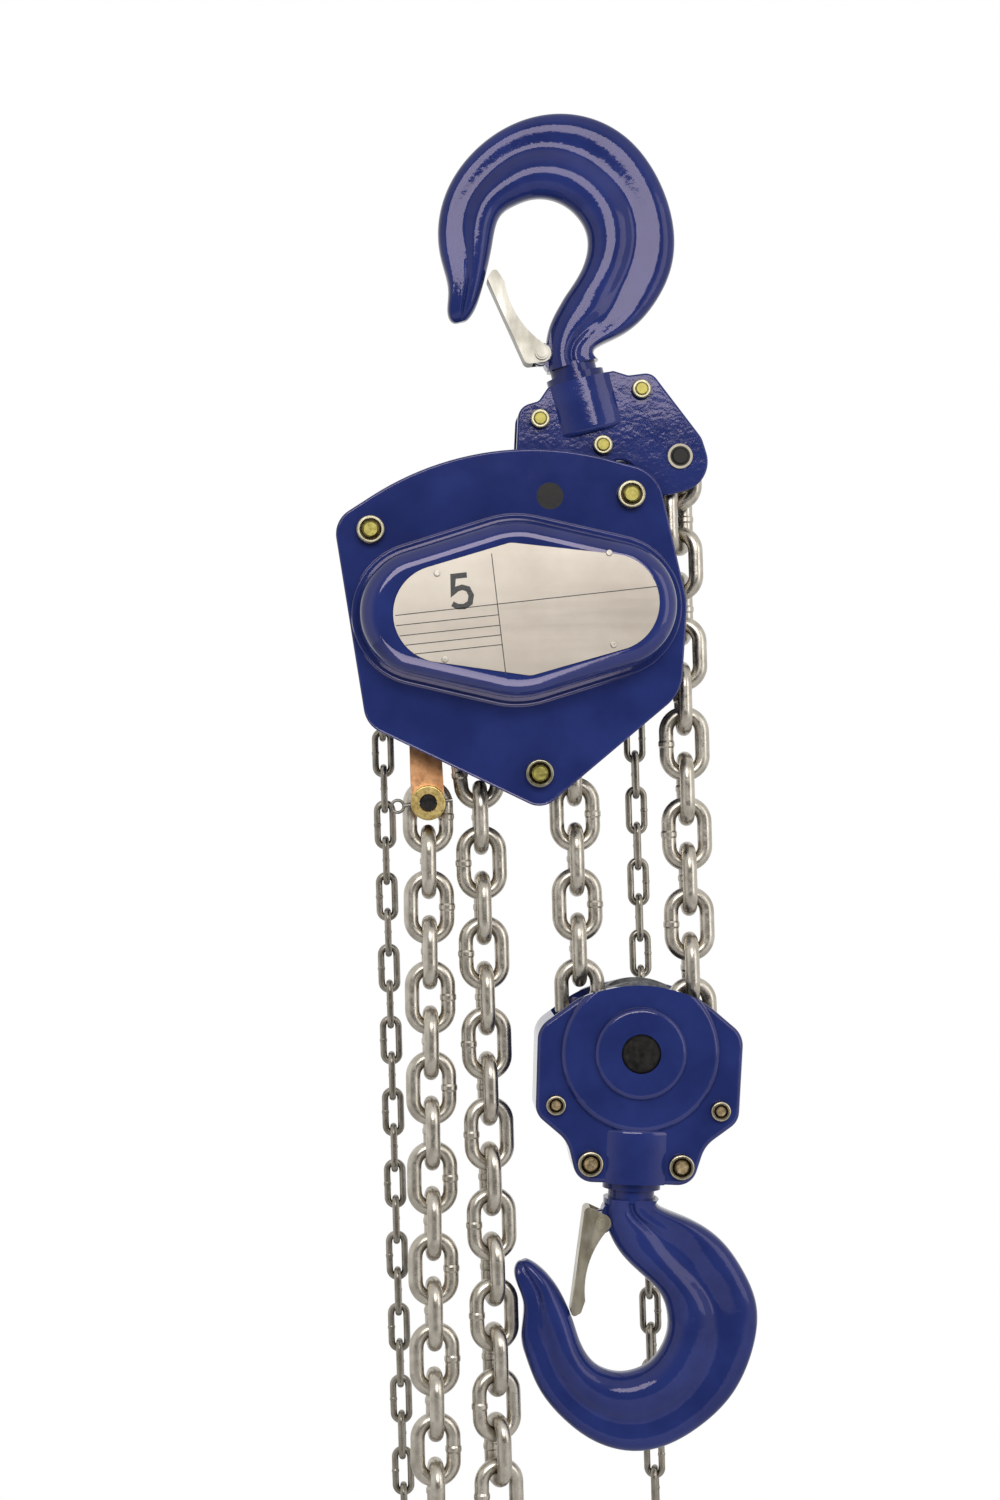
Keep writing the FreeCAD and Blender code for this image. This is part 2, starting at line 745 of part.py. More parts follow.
def latch_pin(pivot):
    outside = latch_half_width + face_gap
    heads = [rod(pivot, latch_head_radius, outside, outside + latch_head_height),
             rod(pivot, latch_head_radius, -outside - latch_head_height, -outside)]
    end = outside + latch_head_height + latch_pin_end
    return fused([rod(pivot, latch_pin_radius, -end, end)] + heads)


def latch_spring(pivot):
    return ring(pivot, latch_spring_radius, latch_pin_radius + running_gap, -latch_spring_half,
                latch_spring_half)


# Places of the three hanging groups
suspension = tuple(share * yoke_size for share in suspension_pin_shares)
suspension_place = turned(suspension, upper_lean_deg)
sheave_from_pin = tuple(-share * case_size for share in suspension_from_sheave_shares)
sheave_place = added(suspension_place, turned(sheave_from_pin, body_lean_deg))
anchor = tuple(share * yoke_size for share in anchor_pin_shares)
anchor_place = turned(anchor, upper_lean_deg)
live_x = sheave_place[0] + load_strand_offset
block_place = ((live_x + anchor_place[0]) / 2, anchor_place[1] - block_drop)
tail_pin = tuple(share * case_size for share in tail_pin_shares)
tail_place = added(sheave_place, turned(tail_pin, body_lean_deg))
shank_x = shank_share * hook_size
yoke_face = collar_share * yoke_size - face_gap
block_foot = block_foot_share * block_size
load_pivot_radius = pivot_radius(load_pitch, load_wire, load_pockets)
hand_pivot_radius = pivot_radius(hand_pitch, hand_wire, hand_pockets)
load_seated = math.sqrt(load_pivot_radius ** 2 - ((load_pitch + link_play + load_wire) / 2) ** 2)
load_near = load_pivot_radius + load_pitch


# Top hook and its parts
def top_group():
    pivot = tuple(share * hook_size for share in top_latch_pivot_shares)
    circles = scaled(top_latch_shares, hook_size)
    face = yoke_face + face_gap
    length = face_gap + neck_shoulder + bearing_height() + hook_nut_height
    return {
        "top_hook": hook_body(top_hook_shares, shank_x, face, -1, length, pivot, circles),
        "top_latch": latch_body(circles, pivot, circles[2], -1),
        "top_latch_pin": Part.makeCompound([latch_pin(pivot), latch_spring(pivot)]),
    }


# Races and balls that carry a hook nut, stacked from the shoulder towards the nut
def thrust_bearing(x, shoulder, away):
    near = shoulder + away * thrust_race_width
    far = near + away * 2 * thrust_ball_radius
    outer = hook_nut_radius
    inner = hook_shank_radius + running_gap
    pieces = []
    for first in (shoulder, far):
        last = first + away * thrust_race_width
        race = upright(x, outer, first, last)
        pieces.append(race.cut(upright(x, inner, first - away * overrun, last + away * overrun)))
    middle = (outer + inner) / 2
    for index in range(thrust_balls):
        angle = 2 * math.pi * index / thrust_balls
        centre = Vector(x + middle * math.cos(angle), middle * math.sin(angle), (near + far) / 2)
        pieces.append(Part.makeSphere(thrust_ball_radius, centre))
    return Part.makeCompound(pieces)


def hook_nut(x, seat, away):
    body = upright(x, hook_nut_radius, seat, seat + away * hook_nut_height)
    past = seat + away * (hook_nut_height + overrun)
    return body.cut(upright(x, hook_shank_radius, seat - away * overrun, past))


def bearing_height():
    return 2 * thrust_race_width + 2 * thrust_ball_radius


# Bulge over the hook nut, front half: an ellipse that leaves the plate's face at the half width
def neck_half(x, half_width, depth, face, low, high, foot):
    reach = half_width / math.sqrt(1 - (face / depth) ** 2)
    centre = Vector(x, 0, low)
    ends = sorted((Vector(x + reach, 0, low), Vector(x, depth, low)), key=centre.distanceToPoint)
    curve = Part.Ellipse(ends[1], ends[0], centre)
    body = Part.Face(Part.Wire([curve.toShape()])).extrude(Vector(0, 0, high - low))
    edge = [e for e in body.Edges if abs(e.BoundBox.ZMin - foot) < match_gap
            and abs(e.BoundBox.ZMax - foot) < match_gap]
    body = body.makeFillet(neck_foot_round, edge)
    keep = Part.makeBox(2 * half_width, depth + overrun, high - low + 2 * overrun,
                        Vector(x - half_width, -depth - overrun - face_gap / 2, low - overrun))
    return body.common(keep)


def yoke_front():
    outline = rounded_outline(scaled(yoke_outline_shares, yoke_size), -yoke_half_thickness)
    plate = soft_slab(outline, yoke_plate_thickness, yoke_edge_round)
    inside = yoke_plate_thickness - yoke_half_thickness
    foot = yoke_face - yoke_neck_height
    neck = neck_half(shank_x, yoke_neck_half_width, yoke_neck_depth, yoke_half_thickness, foot, yoke_face,
                     foot)
    pieces = [plate, neck]
    bolts = scaled(yoke_bolt_shares, yoke_size)
    for place in bolts:
        pieces.append(rod(place, yoke_boss_radius, inside - face_gap, -face_gap / 2))
    pieces.append(rod(anchor, anchor_boss_radius, inside - face_gap, -anchor_boss_inner))
    body = fused(pieces)
    seat = yoke_face - neck_shoulder
    room = seat - bearing_height() - hook_nut_height - 2 * face_gap
    cutters = [post(shank_x, neck_cavity_radius, room, seat),
               post(shank_x, hook_shank_radius + running_gap, room, yoke_face + overrun),
               rod(anchor, anchor_pin_radius, -yoke_size, yoke_size),
               rod(suspension, suspension_pin_radius + running_gap, -yoke_size, yoke_size)]
    for place in bolts:
        cutters.append(rod(place, yoke_bolt_radius, -yoke_size, yoke_size))
    return body.cut(cutters)


def yoke_group():
    front = yoke_front()
    bolts = scaled(yoke_bolt_shares, yoke_size)
    outside = yoke_half_thickness
    end = outside + yoke_nut_height + yoke_bolt_end
    nuts, studs = [], []
    for place in bolts:
        nut = lock_nut(place, yoke_nut_radius, yoke_bolt_radius, -outside, yoke_nut_height)
        nuts.extend([nut, mirrored(nut)])
        studs.append(thread_end(place, yoke_bolt_radius, -end, end))
    washer = ring(anchor, anchor_ring_radius, anchor_pin_radius, -outside - anchor_ring_width, -outside)
    pin_end = outside + anchor_ring_width + anchor_pin_end
    seat = yoke_face - neck_shoulder
    return {
        "yoke_front_plate": front,
        "yoke_rear_plate": mirrored(front),
        "yoke_bolts": Part.makeCompound(studs),
        "yoke_nuts": Part.makeCompound(nuts),
        "chain_anchor_pin": Part.makeCompound(
            [thread_end(anchor, anchor_pin_radius, -pin_end, pin_end), washer, mirrored(washer)]),
        "top_thrust_bearing": thrust_bearing(shank_x, seat, -1),
        "top_hook_nut": hook_nut(shank_x, seat - bearing_height(), -1),
    }


# Body: side plates, stays and the pressed gear cover

def gear_centre(side):
    reach = drive_module * (pinion_teeth + disc_teeth) / 2
    return turned((side * reach, 0), gear_line_deg)


pin_from_sheave = tuple(share * case_size for share in suspension_from_sheave_shares)
stays = scaled(stay_bolt_shares, case_size)
case_front = -side_plate_inner - side_plate_thickness - case_sheet
plate_back = side_plate_inner + side_plate_thickness


def side_plate():
    circles = grown(scaled(case_belt_shares, case_size), -side_plate_inset)
    body = slab(belt_outline(circles, side_plate_inner), side_plate_thickness)
    cutters = [rod((0, 0), bearing_outer_radius, 0, case_size),
               rod(pin_from_sheave, suspension_pin_radius, 0, case_size)]
    for place in stays:
        cutters.append(rod(place, stay_bolt_radius, 0, case_size))
    cutters.append(rod(scaled([strap_top_shares], case_size)[0], strap_bolt_radius, 0, case_size))
    cutters.append(rod((0, stripper_pin_share * case_size), stripper_pin_radius, 0, case_size))
    return body.cut(cutters)


def front_side_plate():
    body = mirrored(side_plate())
    for side in (-1, 1):
        body = body.cut(rod(gear_centre(side), idle_shaft_radius + bush_wall, -case_size, 0))
    return body


def dome_loft(shrink_low, shrink_high, low, high):
    circles = scaled(dome_belt_shares, case_size)
    wires = [belt_outline(grown(circles, -shrink), level)
             for shrink, level in ((shrink_low, low), (shrink_high, high))]
    return Part.makeLoft(wires, True, True)


def gear_cover():
    outline = belt_outline(scaled(case_belt_shares, case_size), case_front)
    sheet = soft_slab(outline, case_sheet, case_edge_round)
    step_top = case_front - dome_step_height
    dome_top = case_front - dome_height
    step = dome_loft(0, dome_step_draft, case_front + case_sheet / 2, step_top)
    edge = [e for e in step.Edges if abs(e.BoundBox.YMax - step_top) < match_gap]
    step = step.makeFillet(dome_step_round, edge)
    wall = dome_loft(dome_step_inset, dome_step_inset + dome_draft, case_front, dome_top)
    edge = [e for e in wall.Edges if abs(e.BoundBox.YMax - dome_top) < match_gap]
    wall = wall.makeFillet(dome_round, edge)
    body = fused([sheet, step, wall])
    inner = dome_step_inset + dome_wall
    ceiling = dome_top + dome_wall
    hollow = dome_loft(inner, inner + dome_draft, case_front + case_sheet + face_gap, ceiling)
    edge = [e for e in hollow.Edges if abs(e.BoundBox.YMax - ceiling) < match_gap]
    hollow = hollow.makeFillet(dome_round - dome_wall, edge)
    cutters = [hollow, rod(pin_from_sheave, suspension_pin_radius, -case_size, 0)]
    for place in stays:
        cutters.append(rod(place, stay_bolt_radius, -case_size, 0))
    return body.cut(cutters)


def nameplate():
    top = case_front - dome_height
    return slab(belt_outline(scaled(nameplate_belt_shares, case_size), top - nameplate_thickness),
                nameplate_thickness)


def nameplate_rivets():
    seat = case_front - dome_height - nameplate_thickness
    heads = []
    for place in scaled(rivet_shares, case_size):
        head = rod(place, rivet_radius, seat - rivet_height, seat)
        edge = [e for e in head.Edges if abs(e.BoundBox.YMax - (seat - rivet_height)) < match_gap]
        heads.append(head.makeFillet(rivet_round, edge))
    return Part.makeCompound(heads)


def stay_group():
    end = stay_nut_height + stay_end
    rear_seat = plate_back + cover_flange
    bolts, tubes, nuts = [], [], []
    for place in stays:
        bolts.append(thread_end(place, stay_bolt_radius, case_front - end, rear_seat + end))
        tubes.append(ring(place, stay_tube_radius, stay_bolt_radius, -side_plate_inner, side_plate_inner))
        nuts.append(lock_nut(place, stay_nut_radius, stay_bolt_radius, case_front, stay_nut_height))
        rear_nut = lock_nut(place, stay_nut_radius, stay_bolt_radius, -rear_seat, stay_nut_height)
        nuts.append(mirrored(rear_nut))
    return {"stay_bolts": Part.makeCompound(bolts), "stay_tubes": Part.makeCompound(tubes),
            "stay_nuts": Part.makeCompound(nuts)}


def suspension_group():
    bush = ring(pin_from_sheave, suspension_bush_radius, suspension_pin_radius,
                yoke_half_thickness + face_gap, side_plate_inner)
    return {"suspension_pin": rod(pin_from_sheave, suspension_pin_radius, case_front, plate_back + overrun),
            "suspension_bushes": both_sides(bush)}


# Load sheave, gears and drive shaft, all about the sheave axis

def heading_of(start, end):
    return math.degrees(math.atan2(end[1] - start[1], end[0] - start[0]))


# Direction, in the leaned frame, of a flat link lying on the wheel
def pocket_phase(links, place, lean_deg):
    nearest = min((math.dist(middle, place), middle) for piece, middle, flat, heading in links if flat)[1]
    return heading_of(place, nearest) - lean_deg


# Flat links that run on to the wheel or off it, as distance, direction and tilt from the seated ones
def passing_links(links, place, pockets, seated, reach):
    phase = pocket_phase(links, place, 0)
    rows = []
    for piece, middle, flat, heading in links:
        away = math.dist(middle, place)
        if flat and seated + face_gap < away < reach:
            turn = heading_of(place, middle)
            tilt = (heading - turn + 180) % 180 - 90
            rows.append((away, (turn - phase) % (360 / pockets), tilt))
    return rows


def load_sheave(phase, passing):
    wheel = pocket_wheel(load_pitch, load_wire, load_link_width, load_pockets, load_wheel_half_width,
                         wheel_lip, sheave_bore_radius, phase, passing)
    pieces = [wheel, ring((0, 0), sheave_journal_radius, sheave_bore_radius, load_wheel_half_width - overrun,
                          plate_back)]
    pieces.append(ring((0, 0), sheave_journal_radius, sheave_bore_radius, -plate_back - face_gap,
                       overrun - load_wheel_half_width))
    pieces.append(ring((0, 0), sheave_hub_radius, sheave_bore_radius, final_gear_front, -plate_back))
    return fused(pieces)


def sheave_bearing():
    return ring((0, 0), bearing_outer_radius, sheave_journal_radius + running_gap, side_plate_inner,
                side_plate_inner + side_plate_thickness)


def shaft_bush(place, bore, front):
    return ring(place, bore + bush_wall, bore + running_gap, front, front + bush_length)


def idle_gear_set(side):
    centre = gear_centre(side)
    toward = gear_line_deg + (180 if side > 0 else 0)
    disc = gear(disc_teeth, drive_module, disc_gear_front, disc_gear_width, toward + 180 / disc_teeth,
                idle_shaft_radius)
    pinion_front = disc_gear_front + disc_gear_width
    pinion_back = final_gear_front + final_gear_width
    pinion = gear(pinion_teeth, final_module, pinion_front, pinion_back - pinion_front,
                  toward + 180 / pinion_teeth, 0)
    nose = case_front - dome_height + dome_wall + face_gap
    shaft = rod((0, 0), idle_shaft_radius, nose, pinion_front)
    tail = rod((0, 0), idle_shaft_radius, pinion_back, -side_plate_inner - face_gap)
    shaft = fused([pinion, shaft, tail])
    for shape in (disc, shaft):
        shape.translate(Vector(centre[0], 0, centre[1]))
    return disc, shaft


def gear_bushes():
    inside = case_front - dome_height + dome_wall
    bushes = [shaft_bush((0, 0), drive_nose_radius, inside)]
    for side in (-1, 1):
        bushes.append(shaft_bush(gear_centre(side), idle_shaft_radius, inside))
        centre = gear_centre(side)
        bushes.append(ring(centre, idle_shaft_radius + bush_wall, idle_shaft_radius + running_gap,
                           -plate_back, -side_plate_inner))
    return Part.makeCompound(bushes)


def nut_seat():
    return hand_chain_plane + hand_wheel_half_width - overrun


def drive_shaft():
    nose = case_front - dome_height + dome_wall + face_gap
    pinion = gear(pinion_teeth, drive_module, disc_gear_front - face_gap, disc_gear_width + 2 * face_gap,
                  gear_line_deg, 0)
    pieces = [pinion, rod((0, 0), drive_nose_radius, nose, disc_gear_front),
              rod((0, 0), drive_shaft_radius, disc_gear_front + disc_gear_width + face_gap,
                  nut_seat() + castle_nut_height)]
    return fused(pieces)


def drive_bushes():
    front = ring((0, 0), sheave_bore_radius, drive_shaft_radius + running_gap, final_gear_front,
                 final_gear_front + 2 * bush_length)
    rear = ring((0, 0), sheave_bore_radius, drive_shaft_radius + running_gap, plate_back - 2 * bush_length,
                plate_back)
    return Part.makeCompound([front, rear])


# Load brake, ratchet and pawls

def brake_stack():
    disc_front = brake_hub_front + brake_flange_width
    ratchet_front = disc_front + friction_width
    rear_disc = ratchet_front + ratchet_width
    return disc_front, ratchet_front, rear_disc, rear_disc + friction_width


def brake_hub():
    disc_front, ratchet_front, rear_disc, wheel_seat = brake_stack()
    flange = rod((0, 0), brake_flange_radius, brake_hub_front, disc_front)
    hub = rod((0, 0), brake_hub_radius, brake_hub_front, wheel_seat)
    return fused([flange, hub]).cut(rod((0, 0), drive_shaft_radius, 0, case_size))


def friction_discs():
    disc_front, ratchet_front, rear_disc, wheel_seat = brake_stack()
    thin = friction_width - running_gap
    return Part.makeCompound([
        ring((0, 0), friction_radius, brake_hub_radius, disc_front, disc_front + thin),
        ring((0, 0), friction_radius, brake_hub_radius, rear_disc + running_gap, wheel_seat)])


def ratchet_disc():
    disc_front, ratchet_front, rear_disc, wheel_seat = brake_stack()
    points = []
    step = 360 / ratchet_teeth
    for tooth in range(ratchet_teeth):
        for part_share in ratchet_tooth_shares:
            radius = ratchet_radius + (ratchet_root_radius - ratchet_radius) * part_share
            x, z = turned((radius, 0), step * (tooth + part_share))
            points.append(Vector(x, ratchet_front, z))
    points.append(points[0])
    body = slab(Part.makePolygon(points), ratchet_width)
    return body.cut(rod((0, 0), brake_hub_radius + running_gap, 0, case_size))


def pawl_places(angle_deg):
    stud = turned((pawl_stud_distance, 0), angle_deg - pawl_back_deg)
    lift = ratchet_root_radius + pawl_nose_radius + pawl_gap
    back = math.degrees((pawl_nose_radius + pawl_gap) / lift)
    return stud, turned((lift, 0), angle_deg - back)


def pawl(angle_deg):
    disc_front, ratchet_front, rear_disc, wheel_seat = brake_stack()
    stud, nose = pawl_places(angle_deg)
    circles = [(stud[0], stud[1], pawl_hub_radius), (nose[0], nose[1], pawl_nose_radius)]
    body = slab(belt_outline(circles, ratchet_front), ratchet_width)
    return body.cut(rod(stud, pawl_stud_radius + running_gap, 0, case_size))


def pawl_stud(angle_deg):
    disc_front, ratchet_front, rear_disc, wheel_seat = brake_stack()
    stud, nose = pawl_places(angle_deg)
    head = ratchet_front + ratchet_width + face_gap
    return fused([rod(stud, pawl_stud_radius, plate_back, head + pawl_stud_head_height),
                  rod(stud, pawl_stud_head, head, head + pawl_stud_head_height)])


def pawl_spring(angle_deg):
    disc_front, ratchet_front, rear_disc, wheel_seat = brake_stack()
    stud, nose = pawl_places(angle_deg)
    return ring(stud, pawl_stud_radius + pawl_spring_wall, pawl_stud_radius, plate_back,
                ratchet_front - face_gap)


def hand_wheel(phase):
    disc_front, ratchet_front, rear_disc, wheel_seat = brake_stack()
    rim_core = hand_pivot_radius - hand_rim_depth - hand_link_width / 2
    wheel = pocket_wheel(hand_pitch, hand_wire, hand_link_width, hand_pockets, hand_wheel_half_width,
                         hand_wheel_lip, rim_core, phase, [])
    wheel.translate(Vector(0, hand_chain_plane, 0))
    web = ring((0, 0), rim_core + overrun, drive_shaft_radius, hand_chain_plane - hand_web_width / 2,
               hand_chain_plane + hand_web_width / 2)
    boss = ring((0, 0), friction_radius, drive_shaft_radius, wheel_seat, wheel_seat + brake_flange_width)
    hub = ring((0, 0), hand_hub_radius, drive_shaft_radius, wheel_seat, nut_seat())
    return fused([wheel, web, boss, hub])


def castle_nut():
    seat = nut_seat()
    body = ring((0, 0), castle_nut_radius, drive_shaft_radius, seat, seat + castle_nut_height)
    for index in range(castle_slots // 2):
        slot = Part.makeBox(4 * castle_nut_radius, castle_nut_height, castle_slot,
                            Vector(-2 * castle_nut_radius, seat + castle_nut_height / 2, -castle_slot / 2))
        slot.rotate(Vector(0, 0, 0), Vector(0, 1, 0), 360 / castle_slots * index)
        body = body.cut(slot)
    return body


def hand_wheel_cover():
    back = plate_back + cover_depth
    drum = rod((0, 0), cover_radius, plate_back, back)
    edge = [e for e in drum.Edges if abs(e.BoundBox.YMin - back) < match_gap]
    drum = drum.makeFillet(cover_round, edge)
    drum = drum.cut(rod((0, 0), cover_radius - cover_sheet, plate_back - overrun, back - cover_sheet))
    lugs = []
    for place in stays:
        lug = rod(place, cover_lug_radius, plate_back, plate_back + cover_flange)
        lugs.append(lug.cut(rod(place, stay_bolt_radius, 0, case_size)))
    body = fused([drum] + lugs)
    room = plate_back + cover_flange
    for place in stays:
        notch = rod(place, stay_nut_radius + face_gap, room, room + stay_nut_height + stay_end + face_gap)
        body = body.cut(notch)
    for side in (-1, 1):
        middle = side * (cover_radius - cover_mouth / 2)
        mouth = Part.makeBox(cover_mouth, 2 * cover_mouth_half_width, cover_mouth_height,
                             Vector(middle - cover_mouth / 2, hand_chain_plane - cover_mouth_half_width,
                                    -cover_mouth_height - cover_mouth / 2))
        body = body.cut(mouth)
    return body


def tail_group():
    top = scaled([strap_top_shares], case_size)[0]
    half = strap_width / 2
    circles = [(tail_pin[0], tail_pin[1], strap_eye_radius), (top[0], top[1], half)]
    inside = strap_gap
    leg = slab(belt_outline(circles, -inside - strap_sheet), strap_sheet)
    leg = leg.cut([rod(tail_pin, tail_pin_radius, -case_size, case_size),
                   rod(top, strap_bolt_radius, -case_size, case_size)])
    outside = inside + strap_sheet
    nut_front = -outside - tail_nut_height
    nut = ring(tail_pin, tail_nut_radius, tail_nut_bore, nut_front, -outside)
    edge = [e for e in nut.Edges if abs(e.BoundBox.YMax - nut_front) < match_gap
            and e.BoundBox.XLength > 2 * tail_nut_bore + face_gap]
    nut = nut.makeFillet(nut_rim_round, edge)
    middle = nut_front + tail_nut_height / 2
    hole_start = Vector(tail_pin[0] - 2 * tail_nut_radius, middle, tail_pin[1])
    hole = Part.makeCylinder(cotter_wire, 4 * tail_nut_radius, hole_start, Vector(1, 0, 0))
    head = rod(tail_pin, tail_nut_radius, outside, outside + tail_pin_back)
    pin = fused([rod(tail_pin, tail_pin_radius, nut_front + nut_recess, outside + tail_pin_back / 2), head])
    near_x = tail_pin[0] - tail_nut_radius - cotter_reach / 4
    straight = Part.makeCylinder(cotter_wire, tail_nut_radius * 2 + cotter_reach / 2,
                                 Vector(near_x, middle, tail_pin[1]), Vector(1, 0, 0))
    loop_centre = Vector(near_x - cotter_loop, middle, tail_pin[1])
    loop = Part.makeTorus(cotter_loop, cotter_loop_wire, loop_centre, Vector(0, 1, 0))
    strap_bolt = rod(top, strap_bolt_radius, -plate_back, plate_back)
    return {
        "tail_strap": both_sides(leg),
        "tail_pins": Part.makeCompound([pin.cut(hole), strap_bolt]),
        "tail_nut": nut.cut(hole),
        "tail_cotter_pin": fused([straight, loop]),
    }


def chain_stripper():
    outline = belt_outline(scaled(stripper_shares, case_size), -stripper_half_width)
    finger = slab(outline, 2 * stripper_half_width)
    cross = rod((0, stripper_pin_share * case_size), stripper_pin_radius, -plate_back, plate_back)
    return fused([finger, cross])


# Bottom block

def block_front():
    outline = rounded_outline(scaled(block_outline_shares, block_size), -block_face)
    shell = soft_slab(outline, block_face - face_gap / 2, block_edge_round)
    dome = rod((0, 0), block_dome_radius, -block_face - block_dome_height, -block_face + overrun)
    edge = [e for e in dome.Edges if abs(e.BoundBox.YMax + block_face + block_dome_height) < match_gap]
    dome = dome.makeFillet(block_dome_round, edge)
    dome = dome.common(slab(rounded_outline(scaled(block_outline_shares, block_size), -2 * block_face),
                            4 * block_face))
    hub_front = -block_face - block_dome_height - block_hub_height
    hub = rod((0, 0), block_hub_radius, hub_front, -block_face)
    edge = [e for e in hub.Edges if abs(e.BoundBox.YMax - hub_front) < match_gap]
    hub = hub.makeFillet(block_hub_round, edge)
    top = block_foot + block_neck_height
    neck = neck_half(0, block_neck_half_width, block_neck_depth, block_face, block_foot, top, top)
    body = fused([shell, dome, hub, neck])
    cavity = rod((0, 0), block_mouth_half, -block_face + block_wall, block_face)
    mouth = Part.makeBox(2 * block_mouth_half, 2 * block_face, block_size,
                         Vector(-block_mouth_half, -block_face + block_wall, 0))
    body = body.cut([cavity, mouth])
    seat = block_foot + neck_shoulder
    room = seat + bearing_height() + hook_nut_height + 2 * face_gap
    cutters = [rod((0, 0), block_axle_radius, -block_size, block_size),
               post(0, neck_cavity_radius, seat, room),
               post(0, hook_shank_radius + running_gap, block_foot - overrun, room)]
    for place in scaled(block_bolt_shares, block_size):
        cutters.append(rod(place, block_bolt_radius, -block_size, block_size))
    for place in scaled(block_lower_bolt_shares, block_size):
        cutters.append(rod(place, block_lower_bolt_radius, -block_size, block_size))
    return body.cut(cutters)


def block_group(phase, passing):
    front = block_front()
    hub_face = block_face + block_dome_height + block_hub_height
    nuts, bolts = [], []
    for rows, bore, outer in ((block_bolt_shares, block_bolt_radius, block_nut_radius),
                              (block_lower_bolt_shares, block_lower_bolt_radius, block_lower_nut_radius)):
        for place in scaled(rows, block_size):
            nut = lock_nut(place, outer, bore, -block_face, block_nut_height)
            nuts.extend([nut, mirrored(nut)])
            end = block_face + block_nut_height + block_bolt_end
            bolts.append(thread_end(place, bore, -end, end))
    seat = block_foot + neck_shoulder
    half = block_face - block_wall - face_gap
    wheel = pocket_wheel(load_pitch, load_wire, load_link_width, load_pockets, half - face_gap,
                         wheel_lip, block_bush_radius, phase, passing)
    return {
        "block_front_shell": front,
        "block_rear_shell": mirrored(front),
        "block_bolts": Part.makeCompound(bolts),
        "block_nuts": Part.makeCompound(nuts),
        "block_axle": thread_end((0, 0), block_axle_radius, -hub_face - block_axle_end,
                                 hub_face + block_axle_end),
        "block_sheave": Part.makeCompound(
            [wheel, ring((0, 0), block_bush_radius, block_axle_radius + running_gap, -half, half)]),
        "bottom_thrust_bearing": thrust_bearing(0, seat, 1),
        "bottom_hook_nut": hook_nut(0, seat + bearing_height(), 1),
    }


def bottom_hook_group():
    pivot = tuple(share * hook_size for share in bottom_latch_pivot_shares)
    circles = scaled(bottom_latch_shares, hook_size)
    length = face_gap + neck_shoulder + bearing_height() + hook_nut_height
    return {
        "bottom_hook": hook_body(bottom_hook_shares, 0, block_foot - face_gap, 1, length, pivot, circles),
        "bottom_latch": latch_body(circles, pivot, circles[1], 1),
        "bottom_latch_pin": Part.makeCompound([latch_pin(pivot), latch_spring(pivot)]),
    }


# Load chain: from the anchor pin down, round the block sheave, up over the load sheave, and down
# in a slack loop to the tail pin

def fall_path():
    top = (anchor_place[0], anchor_place[1] + anchor_pin_radius - load_wire / 2)
    reach = (anchor_place[0] - live_x) / 2
    rise = math.sqrt(load_pivot_radius ** 2 - reach ** 2)
    tilt = math.degrees(math.asin(rise / load_pivot_radius))
    right = (block_place[0] + reach, block_place[1] + rise)
    left = (block_place[0] - reach, block_place[1] + rise)
    drop = math.sqrt(load_pivot_radius ** 2 - load_strand_offset ** 2)
    lean = math.degrees(math.asin(drop / load_pivot_radius))
    leaving = (tail_place[0] + load_link_width + slack_gap, sheave_place[1] - slack_exit_drop)
    away = (leaving[0] - sheave_place[0], leaving[1] - sheave_place[1])
    side = math.degrees(math.atan2(away[1], away[0])) % 360
    last = side - math.degrees(math.acos(load_strand_offset / math.hypot(*away))) + lean
    return [
        run_of(top, right),
        bend_of(block_place, load_pivot_radius, tilt, -180 - tilt),
        run_of(left, (live_x, sheave_place[1] - drop)),
        bend_of(sheave_place, load_pivot_radius, -lean, last),
        run_of(added(sheave_place, turned((load_pivot_radius, 0), last)), leaving),
    ]


def load_path(foot):
    path = fall_path()
    leaving = path[-1][2]
    tail = (tail_place[0], tail_place[1] + tail_pin_radius - load_wire / 2)
    low = (tail_place[0] - slack_lean, foot)
    radius = (leaving[0] - low[0]) / 2
    path.append(run_of(leaving, (leaving[0], foot)))
    path.append(bend_of((low[0] + radius, foot), radius, 0, -180))
    path.append(run_of(low, tail))
    return path


def hand_path(foot):
    x, z = sheave_place
    r = hand_pivot_radius
    return [run_of((x + r, foot), (x + r, z)), bend_of((x, z), r, 0, 180), run_of((x - r, z), (x - r, foot)),
            bend_of((x, foot), r, 180, 360)]


# Whole chain laid along its path; odd is 1 for an odd count of links and 0 for an even one
def laid_chain(path_at, foot, wire, pitch, width, weld, plane, odd, flat_first, twist_at):
    length = sum(piece_length(piece) for piece in path_at(foot))
    links = 2 * round((length / pitch - odd) / 2) + odd
    foot = closing_foot(path_at, foot, links, wire, pitch, flat_first)
    path = path_at(foot)
    distances = pivots_along(path, links, wire, pitch, flat_first)
    link = link_shape(wire, pitch, width, *weld)
    return path, distances, chain_links(path, distances, flat_first, link, plane, twist_at)


# Share of a way down, from 0 at the high end to 1 at the low one
def way_down(z, high, low):
    return min(1, max(0, (high - z) / (high - low)))


# Share of its twist that a hanging run has: more further down, and none where it turns at the foot
def twist_share(z, high, foot, power):
    return way_down(z, high, foot) ** power * (1 - way_down(z, foot + untwist_start, foot + untwist_end))


def shared_between(x, left, right, left_deg, right_deg):
    share = min(1, max(0, (x - left) / (right - left)))
    return left_deg + (right_deg - left_deg) * share


